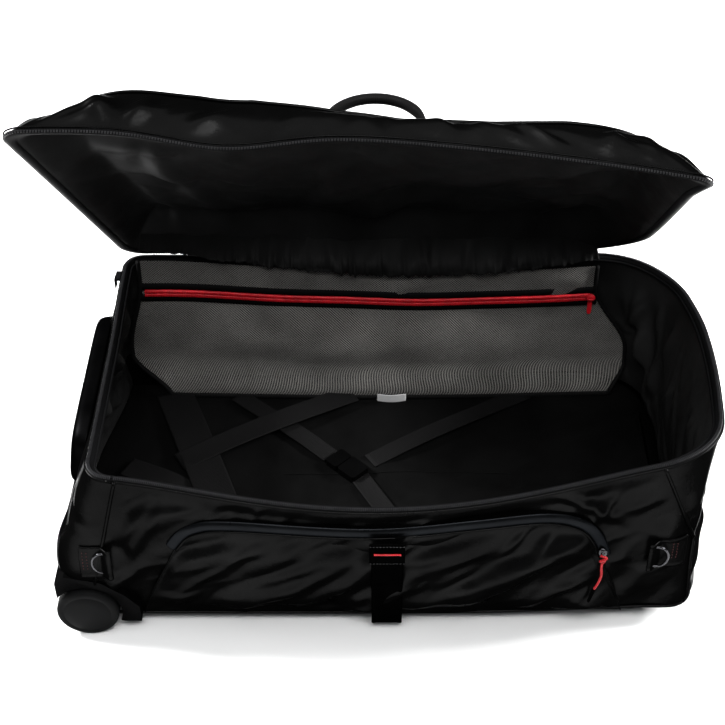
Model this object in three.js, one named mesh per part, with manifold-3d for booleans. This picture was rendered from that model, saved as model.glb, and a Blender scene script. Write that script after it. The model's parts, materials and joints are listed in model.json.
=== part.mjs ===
// A wheeled soft duffel bag, lying on its back with the lid standing half open.
// Millimetres. +X runs along the bag from the wheel end to the handle end, +Y points to the lid's
// hinge side, +Z is up. The origin is on the floor, under the middle of the bag.
import * as THREE from "three";
import { mergeVertices } from "three/addons/utils/BufferGeometryUtils.js";
import Module from "manifold-3d";

const wasm = await Module();
wasm.setup();

// ---------- driving dimensions ----------
const GAP = 0.4; // running gap between pieces that touch on the real bag
const RIM = { left: -341, right: 388, half: 207.5, z: 255 }; // the zip line of the base
const CORNER = { frontLeft: 32, frontRight: 75, backRight: 100, backLeft: 26 };
const TRAY = { bottom: 20, top: 24 }; // moulded back shell
const WALL = 5; // outer fabric, foam and lining together
const SIDE_BULGE = 7.5; // how far the long walls swell at half height
const WHEEL_END_FLARE = 36; // how far the wheel end leans out at the bottom
const FLOOR = { bottom: 46, top: 49 }; // padded floor over the trolley tubes
const LID_OPEN = THREE.MathUtils.degToRad(53);
const HINGE = { y: 210, z: RIM.z };
const LID = { skirt: 50, inset: 28, crown: 22, skin: 4 };
const ZIP = { width: 7, height: 3 };
const WHEEL = { x: -357.5, radius: 37.5, inner: 204, outer: 228, hub: 24, axle: 4 };
const HOUSING = { inner: 180, plate: 201, outer: 222, right: -294, top: 99, clearance: 4.5 };
const SEAM = { leftTop: -306, leftBottom: -356, rightTop: 316, rightBottom: 358 }; // wall to wall
const POCKET = { bottom: 38, top: 187, left: [-291, -224], right: [287, 228] };
const POCKET_FACE = { back: 215.6, front: 221.6, tape: 13, tapeEnd: 105 };
const SLIDER = { x: 254, z: 146 };
const STRAP = { left: -15, right: 23, low: 21, seam: 150, top: 181 };
const RING = { width: 24, height: 36, wire: 4, face: 219.6, tabHalf: 19 };
const TROLLEY = { y: 80, z: 34 };
const CUP = { left: 352, right: 386, half: 106, top: 62, wall: 3 };
const FOOT = { x: -352.6, z: 185, half: 128, rise: 51, depth: 20, wall: 3, corner: 24 };
const HANDLE = { x: -8, reach: 66, rise: 42, radius: 7.5, fromHinge: 215, lift: 3.2 };
const MESH = { y: 186, low: 52, top: 242, zipLow: 200, zipTop: 216 };
const BUCKLE = { x: -49, y: 11, width: 30 };
const MAIN_SLIDER = { low: RIM.z - 5, high: RIM.z + 1, leftY: 165, rightY: 77, half: 7, beside: 1.4 };
const MAIN_PULL = { low: RIM.z - 18, high: RIM.z - 4.2, outside: 8.4, thick: 2, half: 5 };

// ---------- materials ----------
const finish = (color, roughness, metalness = 0) =>
  new THREE.MeshStandardMaterial({ color, roughness, metalness });
const shellFabric = finish(0x0e0e10, 0.35);
const liningFabric = finish(0x121214, 0.55);
const meshFabric = finish(0x6a645c, 0.9);
const webbing = finish(0x101011, 0.8);
const zipTape = finish(0x1a1c20, 0.5);
const sealedTape = finish(0x2b333c, 0.3);
const redCoil = finish(0xb01018, 0.4);
const mouldedPlastic = finish(0x111214, 0.45);
const tyreRubber = finish(0x2c2d2f, 0.6);
const softRubber = finish(0x0b0b0c, 0.5);
const steel = finish(0x9a9da2, 0.25, 1);
const aluminium = finish(0xa8abb0, 0.35, 1);
const labelPaper = finish(0xd8d6d0, 0.8);

// ---------- solids ----------
function toSolid(geometry) {
  const bare = geometry.clone();
  bare.deleteAttribute("normal");
  bare.deleteAttribute("uv");
  const merged = mergeVertices(bare, 1e-3);
  const vertProperties = new Float32Array(merged.attributes.position.array);
  return new wasm.Manifold(
    new wasm.Mesh({ numProp: 3, vertProperties, triVerts: new Uint32Array(merged.index.array) }),
  );
}

function toGeometry(solid) {
  const { vertProperties, triVerts } = solid.getMesh();
  const geometry = new THREE.BufferGeometry();
  geometry.setAttribute("position", new THREE.BufferAttribute(vertProperties, 3));
  geometry.setIndex(new THREE.BufferAttribute(triVerts, 1));
  geometry.computeVertexNormals();
  return geometry;
}

const cut = (body, ...tools) =>
  toGeometry(tools.reduce((left, tool) => left.subtract(toSolid(tool)), toSolid(body)));
const common = (a, b) => toGeometry(toSolid(a).intersect(toSolid(b)));
const join = (body, ...more) =>
  toGeometry(more.reduce((sum, piece) => sum.add(toSolid(piece)), toSolid(body)));

// Extrusions of a flat shape: seen from above, from the front, and from the handle end.
const extrude = (shape, depth) =>
  new THREE.ExtrudeGeometry(shape, { depth, bevelEnabled: false, curveSegments: 6 });
const plateXY = (shape, low, high) => extrude(shape, high - low).translate(0, 0, low);
const plateXZ = (shape, low, high) =>
  extrude(shape, high - low).rotateX(Math.PI / 2).translate(0, high, 0);
const alongX = new THREE.Matrix4().makeBasis(
  new THREE.Vector3(0, 1, 0),
  new THREE.Vector3(0, 0, 1),
  new THREE.Vector3(1, 0, 0),
);
const plateYZ = (shape, low, high) =>
  extrude(shape, high - low).applyMatrix4(alongX).translate(low, 0, 0);

const block = (x, y, z) =>
  new THREE.BoxGeometry(x[1] - x[0], y[1] - y[0], z[1] - z[0]).translate(
    (x[0] + x[1]) / 2,
    (y[0] + y[1]) / 2,
    (z[0] + z[1]) / 2,
  );

const polygon = (...points) => new THREE.Shape(points.map(([x, y]) => new THREE.Vector2(x, y)));

// A rectangle with its own radius at each corner, anticlockwise from the front left.
function cornerPoints({ left, right, front, back, radii }, steps = 5) {
  const corners = [
    [left + radii[0], front + radii[0], radii[0], Math.PI],
    [right - radii[1], front + radii[1], radii[1], 1.5 * Math.PI],
    [right - radii[2], back - radii[2], radii[2], 0],
    [left + radii[3], back - radii[3], radii[3], 0.5 * Math.PI],
  ];
  return corners.flatMap(([x, y, r, start]) =>
    Array.from({ length: steps + 1 }, (_, i) => {
      const angle = start + (i / steps) * (Math.PI / 2);
      return new THREE.Vector2(x + r * Math.cos(angle), y + r * Math.sin(angle));
    }),
  );
}

const rounded = (left, right, front, back, r) =>
  new THREE.Shape(cornerPoints({ left, right, front, back, radii: [r, r, r, r] }, 4));

const insetBox = (box, d) => ({
  left: box.left + d,
  right: box.right - d,
  front: box.front + d,
  back: box.back - d,
  radii: box.radii.map((r) => Math.max(r - d, 3)),
});

// A closed solid through a stack of [height, outline] levels whose outlines have equal counts.
function loft(levels) {
  const count = levels[0][1].length;
  const positions = levels.flatMap(([z, outline]) => outline.flatMap((p) => [p.x, p.y, z]));
  const cap = THREE.ShapeUtils.triangulateShape(levels[0][1], []);
  const top = (levels.length - 1) * count;
  const faces = cap.map(([a, b, c]) => [c, b, a]);
  const lastCap = THREE.ShapeUtils.triangulateShape(levels.at(-1)[1], []);
  faces.push(...lastCap.map((face) => face.map((i) => i + top)));
  for (let level = 0; level < levels.length - 1; level++)
    for (let i = 0; i < count; i++) {
      const a = level * count + i;
      const b = level * count + ((i + 1) % count);
      faces.push([a, b, b + count], [a, b + count, a + count]);
    }
  const geometry = new THREE.BufferGeometry();
  geometry.setAttribute("position", new THREE.Float32BufferAttribute(positions, 3));
  geometry.setIndex(faces.flat());
  return geometry;
}

// A flat ring between two insets of one box.
function ringPlate(box, outside, inside, low, high) {
  const shape = new THREE.Shape(cornerPoints(insetBox(box, outside)));
  shape.holes.push(new THREE.Path(cornerPoints(insetBox(box, inside))));
  return plateXY(shape, low, high);
}

function cord(points, radius, steps, sides = 8) {
  const section = new THREE.Shape().absarc(0, 0, radius, 0, 2 * Math.PI);
  const curve = new THREE.CatmullRomCurve3(points.map((p) => new THREE.Vector3(...p)));
  return new THREE.ExtrudeGeometry(section, { steps, curveSegments: sides, extrudePath: curve });
}

const bag = new THREE.Group();
const lid = new THREE.Group(); // drawn closed, with the hinge line as its origin
lid.position.set(0, HINGE.y, HINGE.z);
lid.rotation.x = -LID_OPEN;
bag.add(lid);

function node(name, geometry, material, parent = bag) {
  const mesh = new THREE.Mesh(geometry, material);
  mesh.name = name;
  parent.add(mesh);
  return mesh;
}

// ---------- the base's walls ----------
// The base's plan at a height: the long walls swell at half height and both ends lean.
function baseBox(z) {
  const t = (z - TRAY.top) / (RIM.z - TRAY.top);
  const swell = Math.sin(Math.PI * t);
  const half = RIM.half + SIDE_BULGE * swell;
  return {
    left: RIM.left - WHEEL_END_FLARE * (1 - t),
    right: RIM.right + 4 * swell - 10 * (1 - t) ** 2,
    front: -half,
    back: half,
    radii: [CORNER.frontLeft, CORNER.frontRight, CORNER.backRight, CORNER.backLeft],
  };
}

const WALL_LEVELS = [TRAY.top + GAP, 60, 105, 150, 205, RIM.z - ZIP.height - GAP];

function baseShell(outside, inside, levels = WALL_LEVELS) {
  const skin = (d, lift) =>
    loft(levels.map((z, i) => [z + lift[i], cornerPoints(insetBox(baseBox(z), d))]));
  const flush = levels.map(() => 0);
  const proud = levels.map((_, i) => (i === 0 ? -1 : i === levels.length - 1 ? 1 : 0));
  return cut(skin(outside, flush), skin(inside, proud));
}

// The seams between long and end walls lean outwards as they go down.
const seamX = (side, z) => {
  const t = (z - TRAY.top) / (RIM.z - TRAY.top);
  return THREE.MathUtils.lerp(SEAM[side + "Bottom"], SEAM[side + "Top"], t);
};

// What belongs to a long wall, as a block from the seams outwards; grow leaves the seam's gap.
function longWallBlock(side, grow) {
  const low = TRAY.top - 1;
  const high = RIM.z + 1;
  const shape = polygon(
    [seamX("left", low) - grow, low],
    [seamX("right", low) + grow, low],
    [seamX("right", high) + grow, high],
    [seamX("left", high) - grow, high],
  );
  return side < 0 ? plateXZ(shape, -260, -100 + grow) : plateXZ(shape, 100 - grow, 260);
}

// The room that each moulded wheel housing takes out of the bottom corners.
const HOUSING_SLOPE = [[-380, HOUSING.top], [-338, 89], [-310, 66], [HOUSING.right, 46]];
const housingRoom = (side) => {
  const [low, high] = side < 0 ? [-260, -HOUSING.inner + 1] : [HOUSING.inner - 1, 260];
  const slope = HOUSING_SLOPE.map(([x, z]) => [x + 1, z + 1]);
  const shape = polygon([-420, 0], [-420, HOUSING.top + 1], ...slope, [HOUSING.right + 1, 0]);
  return plateXZ(shape, low, high);
};

function buildWalls() {
  const shell = baseShell(0, WALL);
  const ends = cut(
    shell,
    longWallBlock(-1, GAP),
    longWallBlock(1, GAP),
    housingRoom(-1),
    housingRoom(1),
    block([CUP.left - 20, 420], [-CUP.half - 1, CUP.half + 1], [0, CUP.top + 1]),
  );
  const half = (low, high) => block([low, high], [-260, 260], [0, 300]);
  node("wheel_end_panel", common(ends, half(-420, 0)), shellFabric);
  node("handle_end_panel", common(ends, half(0, 420)), shellFabric);
  for (const [name, side] of [["front_panel", -1], ["rear_panel", 1]])
    node(name, cut(common(shell, longWallBlock(side, 0)), housingRoom(side)), shellFabric);
  const lining = cut(
    baseShell(WALL + GAP, WALL + GAP + 1.5, [FLOOR.top + 3, 105, 150, 205, RIM.z - 6]),
    housingRoom(-1),
    housingRoom(1),
    block([CUP.left - 20, 420], [-CUP.half - 1, CUP.half + 1], [0, CUP.top + 1]),
  );
  node("wall_lining", lining, liningFabric);
}

function buildBottom() {
  const trayShape = new THREE.Shape(cornerPoints(insetBox(baseBox(TRAY.top), 3)));
  const tray = plateXY(trayShape, TRAY.bottom, TRAY.top);
  node("back_tray", cut(tray, housingRoom(-1), housingRoom(1)), mouldedPlastic);
  const board = plateXY(
    new THREE.Shape(cornerPoints(insetBox(baseBox(FLOOR.top), WALL + 3))),
    FLOOR.bottom,
    FLOOR.top,
  );
  const cupRoom = block([CUP.left - 4, 420], [-CUP.half - 1, CUP.half + 1], [0, CUP.top + 1]);
  node("floor_panel", cut(board, housingRoom(-1), housingRoom(1), cupRoom), liningFabric);
  for (const [name, y] of [["front_skid_foot", -140], ["rear_skid_foot", 140]]) {
    const side = polygon([290, TRAY.bottom - GAP], [296, 0], [344, 0], [352, TRAY.bottom - GAP]);
    node(name, plateXZ(side, y - 20, y + 20), mouldedPlastic);
  }
}

function buildRim() {
  const top = RIM.z - GAP;
  node("base_zip", ringPlate(baseBox(RIM.z), 0, ZIP.width, top - ZIP.height + GAP, top), zipTape);
  // the gathered strip that joins the lid to the base, sewn inside the rear wall
  node("hinge_strip", block([-300, 270], [196.5, 198.5], [RIM.z - 30, RIM.z - 4]), shellFabric);
}

// ---------- wheels, housings and feet ----------
function wheelHousing(side) {
  const [low, high] = [HOUSING.inner, HOUSING.outer].map((y) => side * y).sort((a, b) => a - b);
  const profile = polygon(
    [-392, 62],
    [-392, 88],
    ...HOUSING_SLOPE,
    [HOUSING.right, 20],
    [-314, 20],
    [-332, 24.5],
    [-388, 24.5],
  );
  const well = new THREE.CylinderGeometry(
    WHEEL.radius + HOUSING.clearance,
    WHEEL.radius + HOUSING.clearance,
    60,
    32,
  ).translate(WHEEL.x, side * (HOUSING.plate + 30), WHEEL.radius);
  const open = block([-420, -326], side < 0 ? [-260, -HOUSING.plate] : [HOUSING.plate, 260], [0, 40]);
  return cut(plateXZ(profile, low, high), well, open);
}

function lathe(profile, segments) {
  return new THREE.LatheGeometry(profile.map(([r, y]) => new THREE.Vector2(r, y)), segments);
}

function buildWheel(side, label) {
  const width = WHEEL.outer - WHEEL.inner;
  const place = (geometry) => {
    if (side < 0) geometry.rotateX(Math.PI);
    return geometry.translate(WHEEL.x, side * WHEEL.inner, WHEEL.radius);
  };
  const R = WHEEL.radius;
  const tyre = [
    [WHEEL.hub, 2],
    [R - 4, 2],
    [R, 6],
    [R, width - 6],
    [R - 5, width - 1],
    [WHEEL.hub, width - 1],
    [WHEEL.hub, 2],
  ];
  const bore = WHEEL.axle + 0.3;
  const hubRadius = WHEEL.hub - GAP;
  const hub = [
    [0, width],
    [0, width - 5],
    [bore, width - 5],
    [bore, 1],
    [hubRadius, 1],
    [hubRadius, width - 2],
    [14, width - 0.6],
    [0, width],
  ];
  node(label + "_wheel_tyre", place(lathe(tyre, 40)), tyreRubber);
  node(label + "_wheel_hub", place(lathe(hub, 24)), mouldedPlastic);
  const axle = new THREE.CylinderGeometry(WHEEL.axle, WHEEL.axle, width - 3, 16);
  axle.translate(0, (width - 3) / 2 - (WHEEL.inner - HOUSING.plate) + GAP, 0);
  node(label + "_wheel_axle", place(axle), steel);
  node(label + "_wheel_housing", wheelHousing(side), mouldedPlastic);
}

// The rounded pad that the bag stands on, beside its wheels, when it is upright: an open shell
// that leans as much as the wall behind it.
function buildStandingFoot() {
  const { half, rise, depth, wall, corner } = FOOT;
  const dome = (inset) =>
    [[0, 0], [0.5, 3], [0.88, 12], [1, 24]].map(([reach, shrink]) => {
      const d = shrink + inset;
      const box = { left: d - half, right: half - d, front: d - rise, back: rise - d };
      const radii = [corner, corner, corner, corner];
      return [reach * (depth - inset), cornerPoints({ ...box, radii })];
    });
  const hollow = dome(wall);
  hollow[0][0] = -1;
  const foot = toSolid(loft(dome(0))).subtract(toSolid(loft(hollow)));
  const facing = new THREE.Matrix4().makeRotationZ(Math.PI).multiply(alongX);
  const lean = Math.atan(WHEEL_END_FLARE / (RIM.z - TRAY.top));
  const placed = toGeometry(foot).applyMatrix4(facing).rotateY(lean).translate(FOOT.x, 0, FOOT.z);
  node("standing_foot", placed, mouldedPlastic);
}

// ---------- trolley handle ----------
const tubeSection = (width, height) =>
  rounded(-width / 2, width / 2, -height / 2, height / 2, 2.5);

function tube(width, height, wall, low, high) {
  const section = tubeSection(width, height);
  if (wall) {
    const [w, h] = [width - 2 * wall, height - 2 * wall];
    section.holes.push(new THREE.Path(rounded(-w / 2, w / 2, -h / 2, h / 2, 1.5).getPoints()));
  }
  return plateYZ(section, low, high);
}

function buildTrolley() {
  for (const [label, y] of [["front", -TROLLEY.y], ["rear", TROLLEY.y]]) {
    const at = (geometry) => geometry.translate(0, y, TROLLEY.z);
    node(label + "_outer_tube", at(tube(20, 18, 1.5, -262, CUP.left - GAP)), aluminium);
    node(label + "_middle_tube", at(tube(16.4, 14.4, 1.5, -255, 362)), aluminium);
    node(label + "_inner_tube", at(tube(12.8, 10.8, 0, -248, 371)), aluminium);
  }
  const cup = block([CUP.left, CUP.right], [-CUP.half, CUP.half], [TRAY.top + GAP, CUP.top]);
  const inside = CUP.half - 2;
  const recess = block([CUP.left + CUP.wall, 420], [-inside, inside], [TRAY.top + 2, CUP.top - 3]);
  const holes = [-1, 1].map((side) =>
    tube(17.2, 15.2, 0, CUP.left - 5, CUP.right).translate(0, side * TROLLEY.y, TROLLEY.z),
  );
  node("trolley_cup", cut(cup, recess, ...holes), mouldedPlastic);

  const bar = plateXY(rounded(371.5, 395, -94, 94, 9), TROLLEY.z - 8, TROLLEY.z + 14);
  const fingers = plateXY(rounded(360, 378.5, -62, 62, 6), TROLLEY.z - 9, TROLLEY.z + 15);
  const buttonWell = block([386, 396], [-21, 21], [TROLLEY.z - 4, TROLLEY.z + 10]);
  node("trolley_grip", cut(bar, fingers, buttonWell), softRubber);
  const button = plateYZ(rounded(-20, 20, TROLLEY.z - 3, TROLLEY.z + 9, 3), 390, 394.6);
  node("release_button", button, mouldedPlastic);
}

// ---------- the front wall's fittings ----------
function pocketShape(grow) {
  const [lowLeft, highLeft] = POCKET.left.map((x) => x - grow);
  const [lowRight, highRight] = POCKET.right.map((x) => x + grow);
  const top = POCKET.top + grow;
  const shoulder = POCKET.top - 30; // where the slanted sides begin to round into the top
  const bend = 34;
  const shape = new THREE.Shape();
  shape.moveTo(lowLeft, POCKET.bottom);
  shape.lineTo(lowRight, POCKET.bottom);
  shape.lineTo(THREE.MathUtils.lerp(lowRight, highRight, 0.8), shoulder);
  shape.quadraticCurveTo(highRight, top, highRight - grow - bend, top);
  shape.lineTo(highLeft + grow + bend, top);
  shape.quadraticCurveTo(highLeft, top, THREE.MathUtils.lerp(lowLeft, highLeft, 0.8), shoulder);
  return shape;
}

function buildPocket() {
  const { back, front, tape, tapeEnd } = POCKET_FACE;
  node("pocket_panel", plateXZ(pocketShape(0), -front, -back), shellFabric);
  const arch = cut(
    plateXZ(pocketShape(tape), -front, -back),
    plateXZ(pocketShape(GAP), -260, -200),
    block([-400, 400], [-260, -200], [0, tapeEnd]),
  );
  node("pocket_zip", arch, sealedTape);
}

function buildPocketPull() {
  const front = -POCKET_FACE.front - GAP;
  const slider = plateXZ(rounded(-5, 5, -8, 8, 2), front - 3.5, front);
  node("pocket_slider", slider.translate(SLIDER.x, 0, SLIDER.z), steel);
  const hang = [[0, 0, 0], [1, 0.3, -18], [-2, 0, -40], [-7, 0, -62]]; // the cord's sag, from its top
  const pull = cord(hang, 1.9, 10).translate(SLIDER.x, front - 2, SLIDER.z - 11);
  node("pocket_pull", pull, redCoil);
}

function buildSideStrap() {
  const face = -POCKET_FACE.front - GAP;
  const { left, right, low, seam, top } = STRAP;
  node("side_strap", plateXZ(rounded(left, right, low, seam, 4), face - 4, face), softRubber);
  const keeper = plateXZ(rounded(left - 2, right + 2, seam + 0.5, top, 3), face - 5, face);
  node("strap_keeper", keeper, webbing);
}

// A D-ring with its straight bar on the inner end of its tab; the bow lies back over the tab.
function buildRing(label, barX, toward, z, slant) {
  const edge = (d) => {
    const h = RING.height / 2 - d;
    const w = RING.width - 2 * d;
    const shape = new THREE.Shape();
    shape.moveTo(toward * d, -h);
    shape.lineTo(toward * (w * 0.35 + d), -h);
    const bow = toward * (w * 1.13 + d);
    shape.bezierCurveTo(bow, -h, bow, h, toward * (w * 0.35 + d), h);
    shape.lineTo(toward * d, h);
    return shape;
  };
  const face = -RING.face - GAP;
  const hole = plateXZ(edge(RING.wire), face - 10, face + 5);
  const ring = cut(plateXZ(edge(0), face - RING.wire, face), hole);
  node(label + "_d_ring", ring.translate(barX, 0, z), steel);
  const [low, high] = [barX - toward * 5, barX + toward * slant].sort((a, b) => a - b);
  const tab = rounded(low, high, z - RING.tabHalf, z + RING.tabHalf, 2);
  node(label + "_ring_tab", plateXZ(tab, -RING.face, -RING.face + 3), webbing);
}

// ---------- inside ----------
function buildMeshPocket() {
  const { y, low, top, zipLow, zipTop } = MESH;
  const notch = 102; // the wheel housing behind the lower left corner
  const mesh = polygon([-290, low], [300, low], [306, top], [-322, top], [-322, notch], [-296, notch]);
  node("mesh_pocket", plateXZ(mesh, y, y + 3), meshFabric);
  const tape = plateXZ(rounded(-318, 290, zipLow, zipTop, 2), y - 2 - GAP, y - GAP);
  node("mesh_zip", tape, redCoil);
  const plate = rounded(274, 286, zipLow + 2, zipTop - 2, 2);
  node("mesh_slider", plateXZ(plate, y - 5.5 - 2 * GAP, y - 2 - 2 * GAP), redCoil);
  node("mesh_pull", plateXZ(rounded(277, 283, zipLow - 22, zipLow + 1, 2), y - 8.5, y - 6), redCoil);
  const label = plateXZ(rounded(-6, 34, low + 1, low + 16, 1), y - 1.4, y - GAP);
  node("size_label", label, labelPaper);
}

// A flat webbing strip between two points of the floor, with a 2 mm thickness.
function strip(from, to, width, low) {
  const [dx, dy] = [to[0] - from[0], to[1] - from[1]];
  const length = Math.hypot(dx, dy);
  const shape = rounded(0, length, -width / 2, width / 2, 1);
  return plateXY(shape, low, low + 2).rotateZ(Math.atan2(dy, dx)).translate(from[0], from[1], 0);
}

function buildCrossStraps() {
  const low = FLOOR.top + GAP;
  const narrow = 25;
  const { x, y } = BUCKLE;
  node("wide_strap_rear", strip([-282, 150], [-196, -100], 50, low), webbing);
  node("wide_strap_front", strip([-60, 146], [-240, 30], 32, low + 2 + GAP), webbing);
  node("plug_strap", strip([-190, 146], [x - 24, y + 24], narrow, low), webbing);
  node("socket_strap", strip([x + 24, y - 24], [20, -110], narrow, low), webbing);
  node("side_cross_strap", strip([190, 150], [x + 36, y + 12], narrow, low), webbing);
  const turn = Math.atan2(-1, 1);
  const place = (g) => g.rotateZ(turn).translate(BUCKLE.x, BUCKLE.y, low + 2);
  const w = BUCKLE.width / 2;
  const shell = plateXY(rounded(0, 30, -w, w, 4), 0.5, 10.5);
  const mouth = block([-5, 22], [-w + 2.5, w - 2.5], [2.5, 8.5]);
  node("buckle_socket", place(cut(shell, mouth)), mouldedPlastic);
  const plug = join(
    plateXY(rounded(-22, -2, -w, w, 3), 1.5, 9.5),
    plateXY(rounded(-4, 20, -w + 3.2, w - 3.2, 3), 3.2, 7.8),
  );
  node("buckle_plug", place(plug), mouldedPlastic);
}

// ---------- zip sliders of the main opening ----------
function buildMainSliders() {
  const { low, high, leftY, rightY, half, beside } = MAIN_SLIDER;
  const along = (y, reach) => [y - reach, y + reach];
  const leftX = [RIM.left - beside - 6.6, RIM.left - beside];
  node("left_main_slider", block(leftX, along(leftY, half), [low, high]), steel);
  const pullX = [RIM.left - MAIN_PULL.outside - MAIN_PULL.thick, RIM.left - MAIN_PULL.outside];
  const pull = block(pullX, along(leftY, MAIN_PULL.half), [MAIN_PULL.low, MAIN_PULL.high]);
  node("left_main_pull", pull, softRubber);
  const rightX = [RIM.right + beside, RIM.right + beside + 5.8];
  node("right_main_slider", block(rightX, along(rightY, half), [low, high]), steel);
}

// ---------- lid, drawn closed in its own frame ----------
function lidBox(inset) {
  const box = {
    left: RIM.left,
    right: RIM.right,
    front: -HINGE.y - RIM.half,
    back: RIM.half - HINGE.y,
    radii: [CORNER.frontLeft, CORNER.frontRight, CORNER.backRight, CORNER.backLeft],
  };
  return insetBox(box, inset);
}
const lidOutline = (inset) => cornerPoints(lidBox(inset));

function buildLid() {
  const low = GAP + ZIP.height + GAP;
  node("lid_zip", ringPlate(lidBox(0), 0, ZIP.width, GAP, GAP + ZIP.height), zipTape, lid);
  const skirtLevel = (z, d) => [z, lidOutline((LID.inset * (z - low)) / (LID.skirt - low) + d)];
  const outer = loft([skirtLevel(low, 0), skirtLevel(LID.skirt, 0)]);
  const inner = loft([skirtLevel(low - 1, LID.skin), skirtLevel(LID.skirt + 1, LID.skin)]);
  node("lid_skirt", cut(outer, inner), shellFabric, lid);

  const crown = [[0, LID.inset], [10, 60], [18, 120], [LID.crown, 180]];
  const dome = (lift) => crown.map(([z, d]) => [LID.skirt + GAP + z + lift, lidOutline(d)]);
  const top = dome(0);
  const under = loft([[LID.skirt - 8, lidOutline(LID.inset + LID.skin)], ...dome(-LID.skin)]);
  node("lid_panel", cut(loft(top), under), shellFabric, lid);
  const liningShape = new THREE.Shape(lidOutline(LID.inset + LID.skin + 2));
  node("lid_lining", plateXY(liningShape, 41, 42.5), liningFabric, lid);
}

function buildLidHandle() {
  const top = LID.skirt + LID.crown + GAP;
  const { x, reach, rise, radius, fromHinge, lift } = HANDLE;
  const patch = rounded(x - reach - 14, x + reach + 14, -fromHinge - 13, 13 - fromHinge, 5);
  node("lid_handle_patch", plateXY(patch, top + GAP, top + 2), webbing, lid);
  const foot = top + 2 + lift;
  const arch = Array.from({ length: 13 }, (_, i) => {
    const angle = Math.PI * (1 - i / 12);
    return [x + reach * Math.cos(angle), -fromHinge, foot + rise * Math.sin(angle) ** 0.7];
  });
  node("lid_handle", cord(arch, radius, 20, 10), webbing, lid);
}

buildWalls();
buildBottom();
buildRim();
buildWheel(-1, "front");
buildWheel(1, "rear");
buildStandingFoot();
buildTrolley();
buildPocket();
buildPocketPull();
buildSideStrap();
buildRing("left", -321, -1, 125, 32);
buildRing("right", 311, 1, 134, 48);
buildMeshPocket();
buildCrossStraps();
buildMainSliders();
buildLid();
buildLidHandle();

export default bag;
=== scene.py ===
"""The looks of a wheeled soft duffel bag that lies open on its back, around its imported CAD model."""

import json
import math

import bmesh
import bpy
import numpy as np
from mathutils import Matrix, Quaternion, Vector


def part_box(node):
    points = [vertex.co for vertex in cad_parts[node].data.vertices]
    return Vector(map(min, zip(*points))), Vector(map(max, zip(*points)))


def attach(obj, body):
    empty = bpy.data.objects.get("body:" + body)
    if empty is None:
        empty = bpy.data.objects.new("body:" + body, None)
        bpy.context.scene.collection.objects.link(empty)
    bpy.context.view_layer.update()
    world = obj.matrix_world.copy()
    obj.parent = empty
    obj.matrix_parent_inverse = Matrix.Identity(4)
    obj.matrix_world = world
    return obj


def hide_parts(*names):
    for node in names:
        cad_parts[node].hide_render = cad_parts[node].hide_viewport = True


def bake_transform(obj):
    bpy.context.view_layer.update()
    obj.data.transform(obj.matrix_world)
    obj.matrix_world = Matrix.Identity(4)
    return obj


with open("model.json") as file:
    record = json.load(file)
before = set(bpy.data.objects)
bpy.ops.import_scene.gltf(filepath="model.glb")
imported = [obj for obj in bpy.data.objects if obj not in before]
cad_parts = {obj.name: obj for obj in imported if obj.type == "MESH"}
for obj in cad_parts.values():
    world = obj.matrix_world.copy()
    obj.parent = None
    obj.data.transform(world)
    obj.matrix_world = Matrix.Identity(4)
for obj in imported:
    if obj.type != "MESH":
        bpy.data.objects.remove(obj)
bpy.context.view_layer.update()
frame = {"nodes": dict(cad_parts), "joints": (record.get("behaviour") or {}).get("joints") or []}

# ---------- sizes, in metres, from the frame ----------
ZIP_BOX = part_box("base_zip")
RIM_LEFT, RIM_RIGHT = ZIP_BOX[0].x, ZIP_BOX[1].x
RIM_HALF, RIM_Z = ZIP_BOX[1].y, ZIP_BOX[1].z
FLOOR_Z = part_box("floor_panel")[1].z
JOINTS = {joint["name"]: joint for joint in frame["joints"]}
LID_JOINT = JOINTS["lid_hinge"]
HINGE_Y, HINGE_Z = LID_JOINT["pos_m"][1:]
LID_REACH = HINGE_Y + RIM_HALF  # from the hinge line to the lid's free edge
LID_DEPTH = 0.050  # from the zip's plane to the outer panel's seam
RIM_RADII = (0.032, 0.075, 0.100, 0.026)  # anticlockwise from the front left
ZIP_RADII = (0.026, 0.100, 0.024, 0.028)  # the lid's, anticlockwise from the hinge's left end
PANEL_RADII = (0.060, 0.100, 0.100, 0.118)
CLOTH = 0.0012  # thickness of the coated cloth
PIPING = 0.0021  # radius of a piping cord


# ---------- numbers ----------
def smooth(x, low, high):
    """0 below low, 1 above high, and a smooth step between; low may be above high."""
    t = np.clip((np.asarray(x, float) - low) / (high - low), 0, 1)
    return t * t * (3 - 2 * t)


def bump(x, centre, half):
    """A rounded hill of height 1 between centre - half and centre + half."""
    t = np.clip(np.abs((np.asarray(x, float) - centre) / half), 0, 1)
    return (1 - t * t) ** 1.5


def unit(vectors):
    """The vectors at length 1."""
    length = np.linalg.norm(vectors, axis=-1, keepdims=True)
    return vectors / np.maximum(length, 1e-9)


def fold(a, b, at, angle, length, width, height):
    """One long fold of a cloth: a ridge with a shallow furrow on each side, fading at its ends."""
    c, s = math.cos(math.radians(angle)), math.sin(math.radians(angle))
    along = ((a - at[0]) * c + (b - at[1]) * s) / length
    across = ((b - at[1]) * c - (a - at[0]) * s) / width
    return height * np.exp(-(along**2) * 2) * (1 - 0.7 * across**2) * np.exp(-(across**2))


def add_folds(total, a, b, table, share=1.0):
    """Adds single folds to a relief, each a row of place, angle, length, width and height."""
    for row in table:
        total = total + share * fold(a, b, *row)
    return total


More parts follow.
